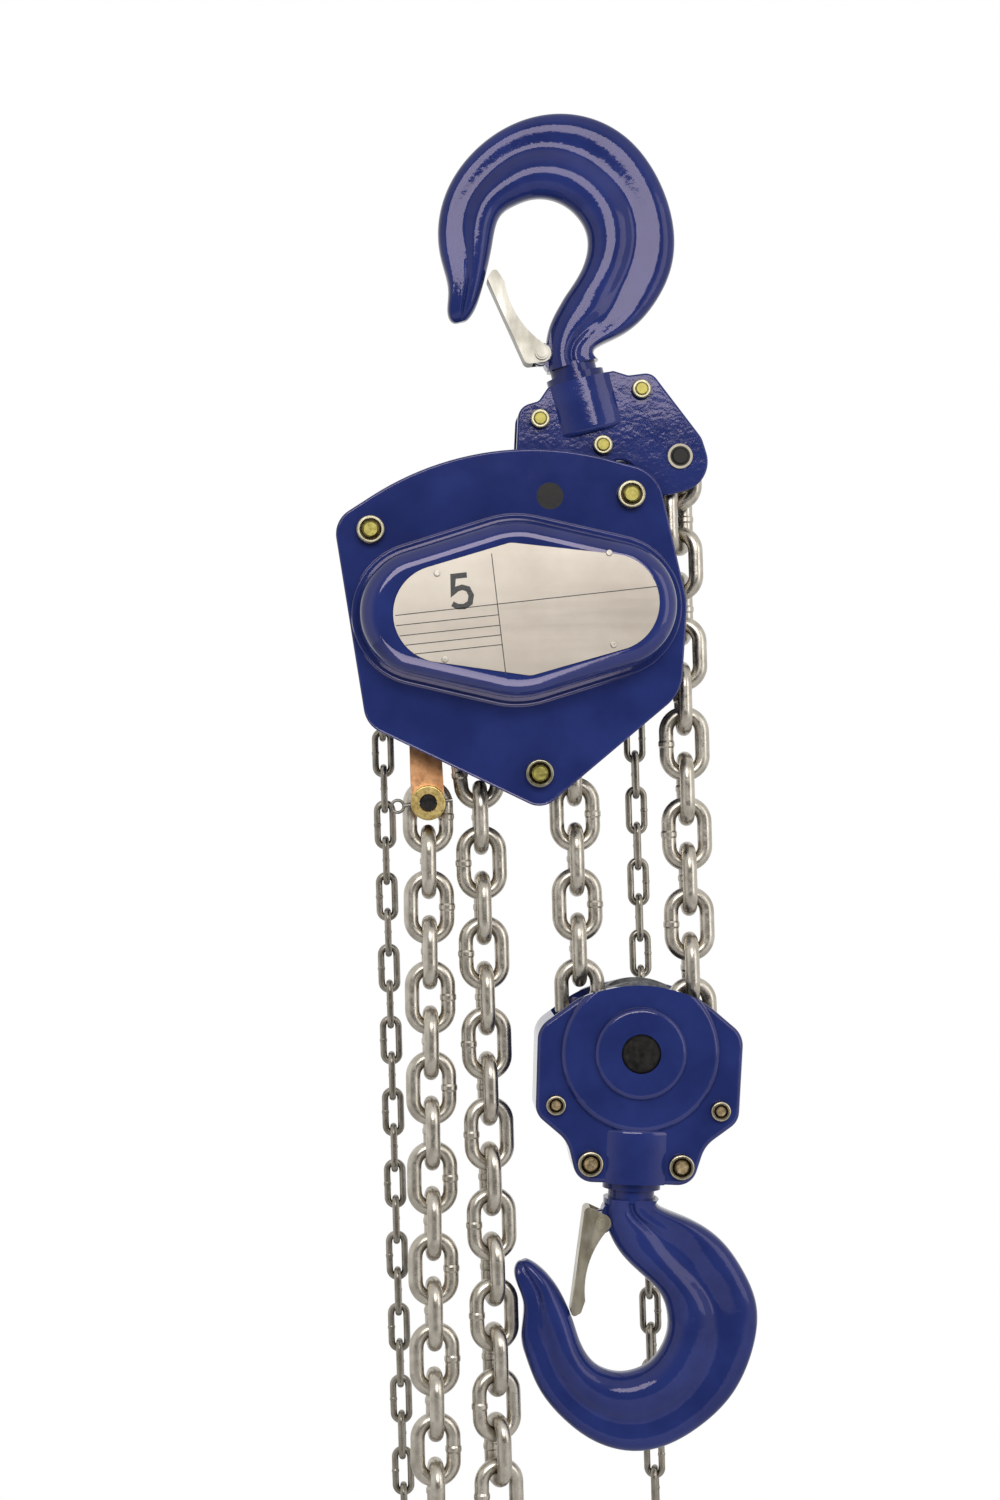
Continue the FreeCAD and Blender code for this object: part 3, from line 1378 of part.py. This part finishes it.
def load_twist(x, z):
    if x > block_place[0]:
        if z > anchor_place[1] - load_pitch:
            return anchored_twist_deg
        start = anchor_place[1] - dead_fall_turned
        return dead_fall_twist_deg * (1 - way_down(z, start, start - dead_fall_turned))
    if x > live_x - load_link_width:
        return 0
    left = tail_place[0]
    twist_deg = shared_between(x, left, left + load_link_width, slack_tail_twist_deg, slack_exit_twist_deg)
    return twist_deg * twist_share(z, tail_place[1], slack_foot, slack_twist_power)


def hand_twist(x, z):
    left = sheave_place[0] - hand_pivot_radius
    right = sheave_place[0] + hand_pivot_radius
    twist_deg = shared_between(x, left, right, hand_left_twist_deg, hand_right_twist_deg)
    return twist_deg * twist_share(z, sheave_place[1] - cover_radius, hand_foot, hand_twist_power)


# Links of each stretch, told apart by how far along the chain they lie
def stretches(path, distances, links, names):
    ends = []
    total = 0
    for piece in path[:len(names) - 1]:
        total += piece_length(piece)
        ends.append(total)
    groups = {name: [] for name in names}
    for index, (piece, middle, flat, heading) in enumerate(links):
        along = (distances[index] + distances[index + 1]) / 2
        place = sum(1 for end in ends if along > end)
        groups[names[place]].append(piece)
    return {name: Part.makeCompound(pieces) for name, pieces in groups.items()}


def body_group(load_links, hand_links):
    sheave_phase = pocket_phase(load_links, sheave_place, body_lean_deg)
    hand_phase = pocket_phase(hand_links, sheave_place, body_lean_deg)
    load_passing = passing_links(load_links, sheave_place, load_pockets, load_seated, load_near)
    nodes = {
        "front_side_plate": front_side_plate(),
        "rear_side_plate": side_plate(),
        "gear_cover": gear_cover(),
        "nameplate": nameplate(),
        "nameplate_rivets": nameplate_rivets(),
        "load_sheave": load_sheave(sheave_phase, load_passing),
        "final_gear": gear(final_teeth, final_module, final_gear_front, final_gear_width, gear_line_deg,
                           sheave_hub_radius),
        "body_bearings": Part.makeCompound([both_sides(sheave_bearing()), gear_bushes()]),
        "drive_shaft": drive_shaft(),
        "drive_bushes": drive_bushes(),
        "brake_hub": brake_hub(),
        "friction_discs": friction_discs(),
        "ratchet_disc": ratchet_disc(),
        "left_pawl": pawl(pawl_angles_deg[0]),
        "right_pawl": pawl(pawl_angles_deg[1]),
        "pawl_studs": Part.makeCompound([shape for angle in pawl_angles_deg
                                         for shape in (pawl_stud(angle), pawl_spring(angle))]),
        "hand_wheel": hand_wheel(hand_phase),
        "castle_nut": castle_nut(),
        "hand_wheel_cover": hand_wheel_cover(),
        "chain_stripper": chain_stripper(),
    }
    for side, name in ((-1, "left"), (1, "right")):
        nodes[name + "_disc_gear"], nodes[name + "_pinion_shaft"] = idle_gear_set(side)
    nodes.update(stay_group())
    nodes.update(suspension_group())
    nodes.update(tail_group())
    return nodes


def whole_hoist():
    load_weld = (load_weld_height, load_weld_length)
    hand_weld = (hand_weld_height, hand_weld_length)
    path, distances, load_links = laid_chain(load_path, slack_foot, load_wire, load_pitch, load_link_width,
                                             load_weld, 0, 1, False, load_twist)
    hand_links = laid_chain(hand_path, hand_foot, hand_wire, hand_pitch, hand_link_width, hand_weld,
                            hand_chain_plane, 0, True, hand_twist)[2]
    nodes = stretches(path, distances, load_links, ("load_chain_dead_fall", "load_chain_block_wrap",
                      "load_chain_live_fall", "load_chain_sheave_wrap", "load_chain_slack_loop"))
    nodes["hand_chain"] = Part.makeCompound([row[0] for row in hand_links])
    block_phase = pocket_phase(load_links, block_place, block_lean_deg)
    block_passing = passing_links(load_links, block_place, load_pockets, load_seated, load_near)
    groups = ((top_group(), (0, 0), upper_lean_deg), (yoke_group(), (0, 0), upper_lean_deg),
              (body_group(load_links, hand_links), sheave_place, body_lean_deg),
              (block_group(block_phase, block_passing), block_place, block_lean_deg),
              (bottom_hook_group(), block_place, block_lean_deg))
    for shapes, place, lean_deg in groups:
        for name, shape in shapes.items():
            nodes[name] = leaned(shape, place, lean_deg)
    return nodes


os.makedirs("parts", exist_ok=True)
for name, shape in whole_hoist().items():
    shape.exportStep("parts/" + name + ".step")
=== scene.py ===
import math
import bpy
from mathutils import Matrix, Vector


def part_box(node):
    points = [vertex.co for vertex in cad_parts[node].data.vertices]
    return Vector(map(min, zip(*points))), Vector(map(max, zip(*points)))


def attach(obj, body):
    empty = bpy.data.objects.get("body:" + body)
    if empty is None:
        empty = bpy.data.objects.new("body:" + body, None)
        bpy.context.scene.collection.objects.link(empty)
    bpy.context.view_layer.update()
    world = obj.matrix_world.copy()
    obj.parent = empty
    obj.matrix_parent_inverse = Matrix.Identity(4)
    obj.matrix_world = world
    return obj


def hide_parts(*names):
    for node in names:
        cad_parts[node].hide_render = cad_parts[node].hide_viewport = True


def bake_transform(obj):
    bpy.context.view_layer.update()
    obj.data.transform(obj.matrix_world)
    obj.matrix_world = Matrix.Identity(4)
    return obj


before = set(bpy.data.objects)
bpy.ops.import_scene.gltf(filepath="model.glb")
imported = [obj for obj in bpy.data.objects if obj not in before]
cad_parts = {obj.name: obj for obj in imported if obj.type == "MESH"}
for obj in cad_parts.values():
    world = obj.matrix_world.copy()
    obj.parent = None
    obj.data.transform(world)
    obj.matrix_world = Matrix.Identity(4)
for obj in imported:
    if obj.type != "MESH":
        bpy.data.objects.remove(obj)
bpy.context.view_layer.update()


# Hooks: each is one forging of alloy steel with a thick bead round the bowl and a thinner web outside
# it, sprayed with deep blue gloss enamel. The shank turns in the yoke above or in the block below.
enamel_blues = ((0.0125, 0.022, 0.110), (0.018, 0.0305, 0.144))
enamel_tint = (1.0, 0.86, 0.96, 1)
cloud_size = 0.03
dust_size = 0.012
gloss_spread = 0.03


# A new step in a finish, whose settings and inputs are given by name
def put(tree, kind, **values):
    step = tree.nodes.new("ShaderNode" + kind)
    for key, value in values.items():
        if hasattr(step, key):
            setattr(step, key, value)
        else:
            step.inputs[key.replace("_", " ")].default_value = value
    return step


# An empty finish: the material, its tree, its shader and the place on the piece in metres
def new_finish(name):
    finish = bpy.data.materials.new(name)
    finish.use_nodes = True
    tree = finish.node_tree
    return finish, tree, tree.nodes["Principled BSDF"], put(tree, "TexCoord").outputs["Object"]


# Cloudy spots of one size in metres, as a value from 0 to 1
def mottle(tree, place, size, detail=3.0, stretch=None):
    if stretch:
        mapping = put(tree, "Mapping")
        mapping.inputs["Scale"].default_value = stretch
        tree.links.new(place, mapping.inputs["Vector"])
        place = mapping.outputs["Vector"]
    spots = put(tree, "TexNoise", Scale=1 / size, Detail=detail, Roughness=0.55)
    tree.links.new(place, spots.inputs["Vector"])
    return spots.outputs["Fac"]


# The value's stretch from start to end, spread over low to high
def between(tree, value, low, high, start=0.3, end=0.7):
    ramp = put(tree, "MapRange")
    for socket, number in (("From Min", start), ("From Max", end), ("To Min", low), ("To Max", high)):
        ramp.inputs[socket].default_value = number
    tree.links.new(value, ramp.inputs["Value"])
    return ramp.outputs["Result"]


# The first colour where the value is low, the second where it is high
def tinted(tree, value, colours, start=0.35, end=0.65):
    ramp = put(tree, "ValToRGB")
    ramp.color_ramp.elements[0].position = start
    ramp.color_ramp.elements[0].color = (*colours[0], 1)
    ramp.color_ramp.elements[1].position = end
    ramp.color_ramp.elements[1].color = (*colours[1], 1)
    tree.links.new(value, ramp.inputs["Fac"])
    return ramp.outputs["Color"]


# Dents in the surface, from pairs of a value and its depth in metres
def dented(tree, shader, heights):
    normal = None
    for value, depth in heights:
        bump = put(tree, "Bump", Strength=1.0, Distance=depth)
        tree.links.new(value, bump.inputs["Height"])
        if normal:
            tree.links.new(normal, bump.inputs["Normal"])
        normal = bump.outputs["Normal"]
    tree.links.new(normal, shader.inputs["Normal"])


# Blue enamel; lump and peel are the sizes of the surface's waves, with their depths, in metres
def enamel(name, lump, lump_depth, peel, peel_depth, gloss, shine):
    finish, tree, shader, place = new_finish(name)
    clouds = mottle(tree, place, cloud_size)
    tree.links.new(tinted(tree, clouds, enamel_blues), shader.inputs["Base Color"])
    dust = mottle(tree, place, dust_size, detail=6.0)
    tree.links.new(between(tree, dust, gloss, gloss + gloss_spread), shader.inputs["Roughness"])
    shader.inputs["Specular IOR Level"].default_value = shine
    shader.inputs["Specular Tint"].default_value = enamel_tint
    lumps = mottle(tree, place, lump, detail=2.0)
    peels = mottle(tree, place, peel, detail=1.0)
    dented(tree, shader, [(lumps, lump_depth), (peels, peel_depth)])
    return finish


# The finish goes on every face of the nodes
def dress(finish, *nodes):
    for node in nodes:
        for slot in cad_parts[node].material_slots:
            slot.material = finish


forged_enamel = enamel("forged_enamel", lump=0.012, lump_depth=0.00013, peel=0.0026, peel_depth=0.00004,
                       gloss=0.07, shine=0.26)
dress(forged_enamel, "top_hook", "bottom_hook")


# Latches: pressed from sheet steel with zinc plating, two cheeks and a back, turning on a headed pin
# with a coil spring round it. They spring shut against the hook's tip, and the bottom one is worn.
haze_share = 0.4
haze_spread = 0.16
upright_streak = (1, 1, 0.2)


# Plated or bare metal; grain is the size of its clouds, and streak draws the haze out along an axis
def plated(name, colours, grain, rough, streak=None, depth=0.00004):
    finish, tree, shader, place = new_finish(name)
    cloud = mottle(tree, place, grain, detail=5.0)
    tree.links.new(tinted(tree, cloud, colours), shader.inputs["Base Color"])
    shader.inputs["Metallic"].default_value = 1.0
    haze = mottle(tree, place, grain * haze_share, detail=6.0, stretch=streak)
    tree.links.new(between(tree, haze, rough, rough + haze_spread), shader.inputs["Roughness"])
    dented(tree, shader, [(haze, depth)])
    return finish


zinc_sheet = plated("zinc_sheet", ((0.24, 0.225, 0.19), (0.36, 0.34, 0.30)), grain=0.02, rough=0.38,
                    streak=upright_streak)
dress(zinc_sheet, "top_latch", "top_latch_pin")
worn_zinc_sheet = plated("worn_zinc_sheet", ((0.34, 0.30, 0.22), (0.46, 0.42, 0.33)), grain=0.012,
                         rough=0.26, streak=upright_streak)
dress(worn_zinc_sheet, "bottom_latch", "bottom_latch_pin")


# Yoke: two forged halves bolted round the hook's shank and nut, in the same blue enamel with a finer
# skin. It hangs the body by one pin and holds the load chain's end by another.
yoke_enamel = enamel("yoke_enamel", lump=0.009, lump_depth=0.00009, peel=0.0024, peel_depth=0.000035,
                     gloss=0.07, shine=0.3)
dress(yoke_enamel, "yoke_front_plate", "yoke_rear_plate")


# Lock nuts: round, yellow plated, with a rim round a recess that the bolt's end stands in. A painted shade
# # of dark brown darkens the recess, the sides below the rim and all of the nuts at the rear, as if in
# shadow.
recess_shade_browns = ((0.012, 0.009, 0.004), (0.04, 0.03, 0.014))
recess_shade_spots = 0.002
shade_start_behind_rim = 0.0007
shade_end_behind_rim = 0.0013


# The first colour where share is 0, the second where it is 1
def merged(tree, share, first, second):
    mix = put(tree, "Mix", data_type="RGBA")
    tree.links.new(share, mix.inputs["Factor"])
    tree.links.new(first, mix.inputs["A"])
    tree.links.new(second, mix.inputs["B"])
    return mix.outputs["Result"]


# Plating that gives way to painted shade a little behind the foremost rim of the nuts
def shaded_behind_rim(node, colours):
    finish = plated(node + "_plating", colours, grain=0.01, rough=0.2, depth=0.00001)
    tree = finish.node_tree
    colour = tree.nodes["Principled BSDF"].inputs["Base Color"]
    plating = colour.links[0].from_socket
    place = put(tree, "TexCoord").outputs["Object"]
    recess_shade = tinted(tree, mottle(tree, place, recess_shade_spots), recess_shade_browns)
    sides = put(tree, "SeparateXYZ")
    tree.links.new(place, sides.inputs["Vector"])
    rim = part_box(node)[0][1]
    # painted shade: dark brown is mixed in behind the rim, so the recess and the rear look shadowed
    behind = between(tree, sides.outputs["Y"], 0.0, 1.0, rim + shade_start_behind_rim, rim + shade_end_behind_rim)
    tree.links.new(merged(tree, behind, plating, recess_shade), colour)
    dress(finish, node)


shaded_behind_rim("yoke_nuts", ((0.21, 0.19, 0.125), (0.29, 0.265, 0.18)))
shaded_behind_rim("stay_nuts", ((0.24, 0.22, 0.15), (0.33, 0.30, 0.21)))
shaded_behind_rim("block_nuts", ((0.38, 0.33, 0.22), (0.52, 0.46, 0.33)))


# Bolts: turned steel with a rolled thread, whose ends show in the recesses of the lock nuts. Those of
# the yoke and body are plated yellow, those of the bottom block are browner.
film_depth = 0.00008
thread_turns = 160.0
thread_depth = 0.0002


def threaded(name, colours):
    finish, tree, shader, place = new_finish(name)
    film = mottle(tree, place, size=0.003, detail=5.0)
    tree.links.new(tinted(tree, film, colours), shader.inputs["Base Color"])
    shader.inputs["Metallic"].default_value = 0.9
    tree.links.new(between(tree, film, low=0.3, high=0.5), shader.inputs["Roughness"])
    thread = put(tree, "TexWave", wave_type="BANDS", bands_direction="Y", Scale=thread_turns)
    tree.links.new(place, thread.inputs["Vector"])
    dented(tree, shader, [(film, film_depth), (thread.outputs["Fac"], thread_depth)])
    return finish


dress(threaded("yellow_thread", ((0.17, 0.145, 0.035), (0.32, 0.28, 0.08))), "yoke_bolts", "stay_bolts")
dress(threaded("brown_thread", ((0.24, 0.175, 0.095), (0.50, 0.38, 0.22))), "block_bolts")


# Pins: turned steel, blackened in hot oil. The one that anchors the load chain in the yoke has a pale
# plated ring round its black end.
pin_blacks = ((0.006, 0.006, 0.006), (0.018, 0.016, 0.014))
oil_depth = 0.00006
ring_yellows = ((0.30, 0.27, 0.20), (0.42, 0.38, 0.29))
ring_start = 0.0064
ring_edge = 0.0004


# How far a place lies from the node's middle line, which runs from front to back
def off_axis(tree, place, node):
    low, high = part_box(node)
    away = put(tree, "VectorMath", operation="SUBTRACT")
    tree.links.new(place, away.inputs[0])
    away.inputs[1].default_value = (Vector(low) + Vector(high)) / 2
    flat = put(tree, "VectorMath", operation="MULTIPLY")
    tree.links.new(away.outputs["Vector"], flat.inputs[0])
    flat.inputs[1].default_value = (1, 0, 1)
    length = put(tree, "VectorMath", operation="LENGTH")
    tree.links.new(flat.outputs["Vector"], length.inputs[0])
    return length.outputs["Value"]


def blackened(name, ringed_node=None):
    finish, tree, shader, place = new_finish(name)
    film = mottle(tree, place, size=0.004, detail=5.0)
    black = tinted(tree, film, pin_blacks)
    tree.links.new(black, shader.inputs["Base Color"])
    shader.inputs["Metallic"].default_value = 0.2
    shader.inputs["Specular IOR Level"].default_value = 0.2
    tree.links.new(between(tree, film, low=0.3, high=0.5), shader.inputs["Roughness"])
    dented(tree, shader, [(film, oil_depth)])
    if ringed_node:
        radius = off_axis(tree, place, ringed_node)
        outside = between(tree, radius, 0.0, 1.0, ring_start, ring_start + ring_edge)
        pale = tinted(tree, film, ring_yellows)
        tree.links.new(merged(tree, outside, black, pale), shader.inputs["Base Color"])
    return finish


dress(blackened("blackened_pin"), "suspension_pin", "block_axle", "pawl_studs")
dress(blackened("ringed_pin", "chain_anchor_pin"), "chain_anchor_pin")


# Body: two steel side plates held apart by stay bolts, closed in front by a gear cover pressed from
# sheet with a raised dome, and behind by the hand wheel's cover. All are sprayed blue after pressing.
sheet_enamel = enamel("sheet_enamel", lump=0.03, lump_depth=0.0001, peel=0.0016, peel_depth=0.00001,
                      gloss=0.05, shine=0.4)
dress(sheet_enamel, "gear_cover", "front_side_plate", "rear_side_plate", "hand_wheel_cover")


# Nameplate: thin satin metal, brushed along its length and held on the dome by four rivets. Ruled
# lines and a plain number are printed on it in dark ink, a tenth of a millimetre thick.
plate_metal = plated("plate_metal", ((0.34, 0.30, 0.255), (0.40, 0.36, 0.31)), grain=0.05, rough=0.26,
                     streak=(0.06, 1, 1))
dress(plate_metal, "nameplate")
rivet_metal = plated("rivet_metal", ((0.34, 0.31, 0.27), (0.50, 0.46, 0.41)), grain=0.004, rough=0.25)
dress(rivet_metal, "nameplate_rivets")
plate_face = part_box("nameplate")[0][1]
shaft_low, shaft_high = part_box("drive_shaft")
body_middle = (Vector(shaft_low) + Vector(shaft_high)) / 2
body_lean = math.radians(5)
ink_height = 0.0001
ink_slope = 0.00006
mitre_limit = 0.5
speck_size = 0.0012
line_width = 0.0006
number_width = 0.0035
number_place = Vector((-0.0347, 0.0149))
number_corners = [(0.0049, 0.0099), (-0.004, 0.0099), (-0.0052, -0.0004), (-0.0024, 0.0016),
                  (0.0009, 0.0024), (0.0046, 0.0009), (0.0062, -0.0034), (0.0049, -0.008), (0.001, -0.01),
                  (-0.0032, -0.0096), (-0.0064, -0.0074)]
ruled_lines = [((-0.0126, 0.0366), (-0.0124, -0.0412)), ((-0.0781, 0.0042), (0.0912, 0.0038)),
               ((-0.0783, -0.0023), (-0.0127, -0.0028)), ((-0.0769, -0.0091), (-0.0123, -0.0095)),
               ((-0.0738, -0.0154), (-0.0121, -0.0157)), ((-0.0692, -0.0216), (-0.0122, -0.0219))]


# A dull surface such as ink or pressed fibre, without metal
def speckled(name, colours, detail, smooth, rough, depth):
    finish, tree, shader, place = new_finish(name)
    specks = mottle(tree, place, speck_size, detail)
    tree.links.new(tinted(tree, specks, colours), shader.inputs["Base Color"])
    tree.links.new(between(tree, specks, smooth, rough), shader.inputs["Roughness"])
    dented(tree, shader, [(specks, depth)])
    return finish


dark_ink = speckled("dark_ink", ((0.012, 0.012, 0.014), (0.05, 0.048, 0.045)), detail=5.0, smooth=0.4,
                    rough=0.65, depth=0.00003)


# A point over the plate's face, for a place across and up from the middle of the leaning body
def on_plate(place, height):
    across = place.x * math.cos(body_lean) - place.y * math.sin(body_lean)
    upward = place.x * math.sin(body_lean) + place.y * math.cos(body_lean)
    return body_middle.x + across, plate_face - height, body_middle.z + upward


# A flat run of ink through the corners, with sloped edges
def printed(name, corners, width):
    points = [Vector(corner) for corner in corners]
    inked = []
    for index, point in enumerate(points):
        before = (point - points[index - 1]).normalized() if index else None
        after = (points[index + 1] - point).normalized() if index + 1 < len(points) else None
        along = ((before or after) + (after or before)).normalized()
        reach = width / 2 / max(mitre_limit, along.dot(before or after))
        foot = Vector((-along.y, along.x)) * reach
        top = foot * (1 - ink_slope * 2 / width)
        for side, height in ((foot, 0), (top, ink_height), (-top, ink_height), (-foot, 0)):
            inked.append(on_plate(point + side, height))
    faces = [(3, 2, 1, 0)]
    last = len(inked) - 4
    for start in range(0, last, 4):
        for corner in range(start, start + 3):
            faces.append((corner, corner + 1, corner + 5, corner + 4))
    faces.append((last, last + 1, last + 2, last + 3))
    mesh = bpy.data.meshes.new(name)
    mesh.from_pydata(inked, [], faces)
    mesh.materials.append(dark_ink)
    piece = bpy.data.objects.new(name, mesh)
    bpy.context.scene.collection.objects.link(piece)
    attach(piece, "hoist_body")


for number, ends in enumerate(ruled_lines, 1):
    printed("nameplate_line_%d" % number, ends, line_width)
printed("nameplate_number", [number_place + Vector(corner) for corner in number_corners], number_width)


# Gears, shafts and brake: machined steel with a thin film of oil, inside the dome, between the plates
# and under the rear cover. The sheaves and the hand wheel are cast iron, the plain bearings bronze,
# and the friction discs pressed fibre.
machined = plated("machined", ((0.30, 0.30, 0.31), (0.46, 0.46, 0.47)), grain=0.01, rough=0.2,
                  streak=(1, 0.2, 1))
dress(machined, "top_hook_nut", "top_thrust_bearing", "bottom_hook_nut", "bottom_thrust_bearing",
      "final_gear", "left_disc_gear", "right_disc_gear", "left_pinion_shaft", "right_pinion_shaft",
      "drive_shaft", "brake_hub", "ratchet_disc", "left_pawl", "right_pawl", "castle_nut", "stay_tubes",
      "suspension_bushes", "chain_stripper")
casting = plated("casting", ((0.10, 0.10, 0.105), (0.18, 0.18, 0.18)), grain=0.004, rough=0.45, depth=0.0002)
dress(casting, "load_sheave", "block_sheave", "hand_wheel")
bronze = plated("bronze", ((0.36, 0.23, 0.09), (0.50, 0.34, 0.14)), grain=0.01, rough=0.3)
dress(bronze, "body_bearings", "drive_bushes")
pressed_lining = speckled("pressed_lining", ((0.035, 0.025, 0.018), (0.10, 0.075, 0.05)), detail=4.0,
                          smooth=0.75, rough=0.95, depth=0.0001)
dress(pressed_lining, "friction_discs")


# Tail anchor: a strap of two legs bent from copper plated steel. It hangs from a bolt through the
# side plates, and its pin carries the last link of the slack chain, held by a brass nut and a cotter.
copper_plating = plated("copper_plating", ((0.46, 0.21, 0.09), (0.66, 0.36, 0.18)), grain=0.008, rough=0.28)
dress(copper_plating, "tail_strap")
brass_plating = plated("brass_plating", ((0.44, 0.32, 0.11), (0.60, 0.46, 0.19)), grain=0.005, rough=0.25)
dress(brass_plating, "tail_nut")
cotter_wire = plated("cotter_wire", ((0.16, 0.15, 0.13), (0.28, 0.26, 0.23)), grain=0.004, rough=0.3)
dress(cotter_wire, "tail_cotter_pin")
dress(blackened("blackened_tail_pin"), "tail_pins")


# Load chain: round steel wire bent to links and butt welded, then plated dull grey. It runs from the
# yoke round both sheaves to the tail anchor, and its two falls grow shorter as the block is lifted.
chain_plating = plated("chain_plating", ((0.38, 0.345, 0.29), (0.52, 0.48, 0.415)), grain=0.008,
                       rough=0.23, depth=0.000005)
dress(chain_plating, "load_chain_dead_fall", "load_chain_block_wrap", "load_chain_live_fall",
      "load_chain_sheave_wrap", "load_chain_slack_loop")


# The same links as a piece of its own, so that it can follow the bottom block
def links_of(node):
    piece = bpy.data.objects.new(node + "_links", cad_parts[node].data.copy())
    bpy.context.scene.collection.objects.link(piece)
    for slot in piece.material_slots:
        slot.material = chain_plating
    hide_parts(node)
    return piece


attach(links_of("load_chain_block_wrap"), "bottom_block")
for fall in ("load_chain_dead_fall", "load_chain_live_fall"):
    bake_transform(links_of(fall))


# Hand chain: thin wire links of the same make with duller plating, in one endless loop over the
# hand wheel.
hand_chain_plating = plated("hand_chain_plating", ((0.23, 0.21, 0.17), (0.33, 0.30, 0.255)), grain=0.008,
                            rough=0.24, depth=0.000005)
dress(hand_chain_plating, "hand_chain")


# Bottom block: two cast shells bolted round the idler sheave and the hook's shank, in blue enamel.
# The axle's black end stands in the round boss.
block_enamel = enamel("block_enamel", lump=0.007, lump_depth=0.00012, peel=0.002, peel_depth=0.00004,
                      gloss=0.06, shine=0.4)
dress(block_enamel, "block_front_shell", "block_rear_shell")


# Studio: a plain pale floor well under the chains, a white surround and four large soft lamps. The
# surround is white to the camera and in reflections, but dark in those that look back at the camera.
floor_height = -1.25
floor_reach = 1.8
floor_front = -2.0
floor_back = 1.3
pale_grey = (0.85, 0.85, 0.85, 1)
camera_side = -0.97
white_side = -0.6
darkest_mirrored = 0.1
soft_strength = 0.35


def pale_floor():
    corners = [(-floor_reach, floor_front, floor_height), (floor_reach, floor_front, floor_height),
               (floor_reach, floor_back, floor_height), (-floor_reach, floor_back, floor_height)]
    mesh = bpy.data.meshes.new("studio_floor")
    mesh.from_pydata(corners, [], [(0, 1, 2, 3)])
    floor = bpy.data.objects.new("studio_floor", mesh)
    bpy.context.scene.collection.objects.link(floor)
    finish = bpy.data.materials.new("pale_floor")
    finish.use_nodes = True
    shader = finish.node_tree.nodes["Principled BSDF"]
    shader.inputs["Base Color"].default_value = pale_grey
    shader.inputs["Roughness"].default_value = 0.9
    mesh.materials.append(finish)


# Two values taken together by one operation
def combined(tree, operation, first, second):
    step = put(tree, "Math", operation=operation)
    tree.links.new(first, step.inputs[0])
    tree.links.new(second, step.inputs[1])
    return step.outputs[0]


def white_surround():
    world = bpy.data.worlds.new("white_surround")
    world.use_nodes = True
    bpy.context.scene.world = world
    tree = world.node_tree
    seen = put(tree, "LightPath").outputs
    sides = put(tree, "SeparateXYZ")
    tree.links.new(put(tree, "TexCoord").outputs["Generated"], sides.inputs["Vector"])
    whiteness = between(tree, sides.outputs["Y"], darkest_mirrored, 1.0, camera_side, white_side)
    mirrored = combined(tree, "MULTIPLY", whiteness, seen["Is Glossy Ray"])
    direct = combined(tree, "MAXIMUM", seen["Is Camera Ray"], seen["Is Transmission Ray"])
    soft = put(tree, "Math", operation="MULTIPLY")
    tree.links.new(seen["Is Diffuse Ray"], soft.inputs[0])
    soft.inputs[1].default_value = soft_strength
    level = combined(tree, "ADD", combined(tree, "ADD", mirrored, direct), soft.outputs[0])
    tree.links.new(level, tree.nodes["Background"].inputs["Strength"])
    tree.nodes["Background"].inputs["Color"].default_value = (1, 1, 1, 1)


def soft_lamp(name, place, aim, width, height, power):
    lamp = bpy.data.lights.new(name, "AREA")
    lamp.shape = "RECTANGLE"
    lamp.size = width
    lamp.size_y = height
    lamp.energy = power
    holder = bpy.data.objects.new(name, lamp)
    holder.location = place
    holder.rotation_euler = (Vector(aim) - Vector(place)).to_track_quat("-Z", "Y").to_euler()
    bpy.context.scene.collection.objects.link(holder)
    return holder


pale_floor()
white_surround()
soft_lamp("key_lamp", place=(0, -2.5, 0.65), aim=(0, 0, -0.3), width=1.6, height=1.0, power=45)
soft_lamp("fill_lamp", place=(1.8, -1.6, 0.0), aim=(0, 0, -0.4), width=1.0, height=1.8, power=12)
back_lamp = soft_lamp("back_lamp", place=(0.4, 2.0, 1.2), aim=(0, 0, -0.4), width=1.4, height=0.8, power=30)
back_lamp.visible_glossy = False

# The low lamp only draws the pale band on the lower shoulder of the gear cover's dome
low_lamp = soft_lamp("low_lamp", place=(-0.15, -1.0, -0.98), aim=(0, -0.07, -0.3), width=0.9, height=1.05,
                     power=22)
low_lamp.visible_diffuse = False
low_lamp.visible_camera = False
domed = bpy.data.collections.new("domed")
domed.objects.link(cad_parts["gear_cover"])
low_lamp.light_linking.receiver_collection = domed


# Camera: in front of the hoist, level with the lower third of the body, turned and rolled a little,
# as the picture was taken.
camera_roll = math.radians(1.6)
camera_turn = math.radians(-2.5)
camera_lens = bpy.data.cameras.new("picture_camera")
camera_lens.sensor_width = 36.0
camera_lens.lens = 68.6
camera = bpy.data.objects.new("picture_camera", camera_lens)
camera.location = (-0.1187, -1.8982, -0.366)
camera.rotation_euler = (math.pi / 2, camera_roll, camera_turn)
bpy.context.scene.collection.objects.link(camera)
bpy.context.scene.camera = camera
bpy.context.scene.view_settings.view_transform = "Standard"
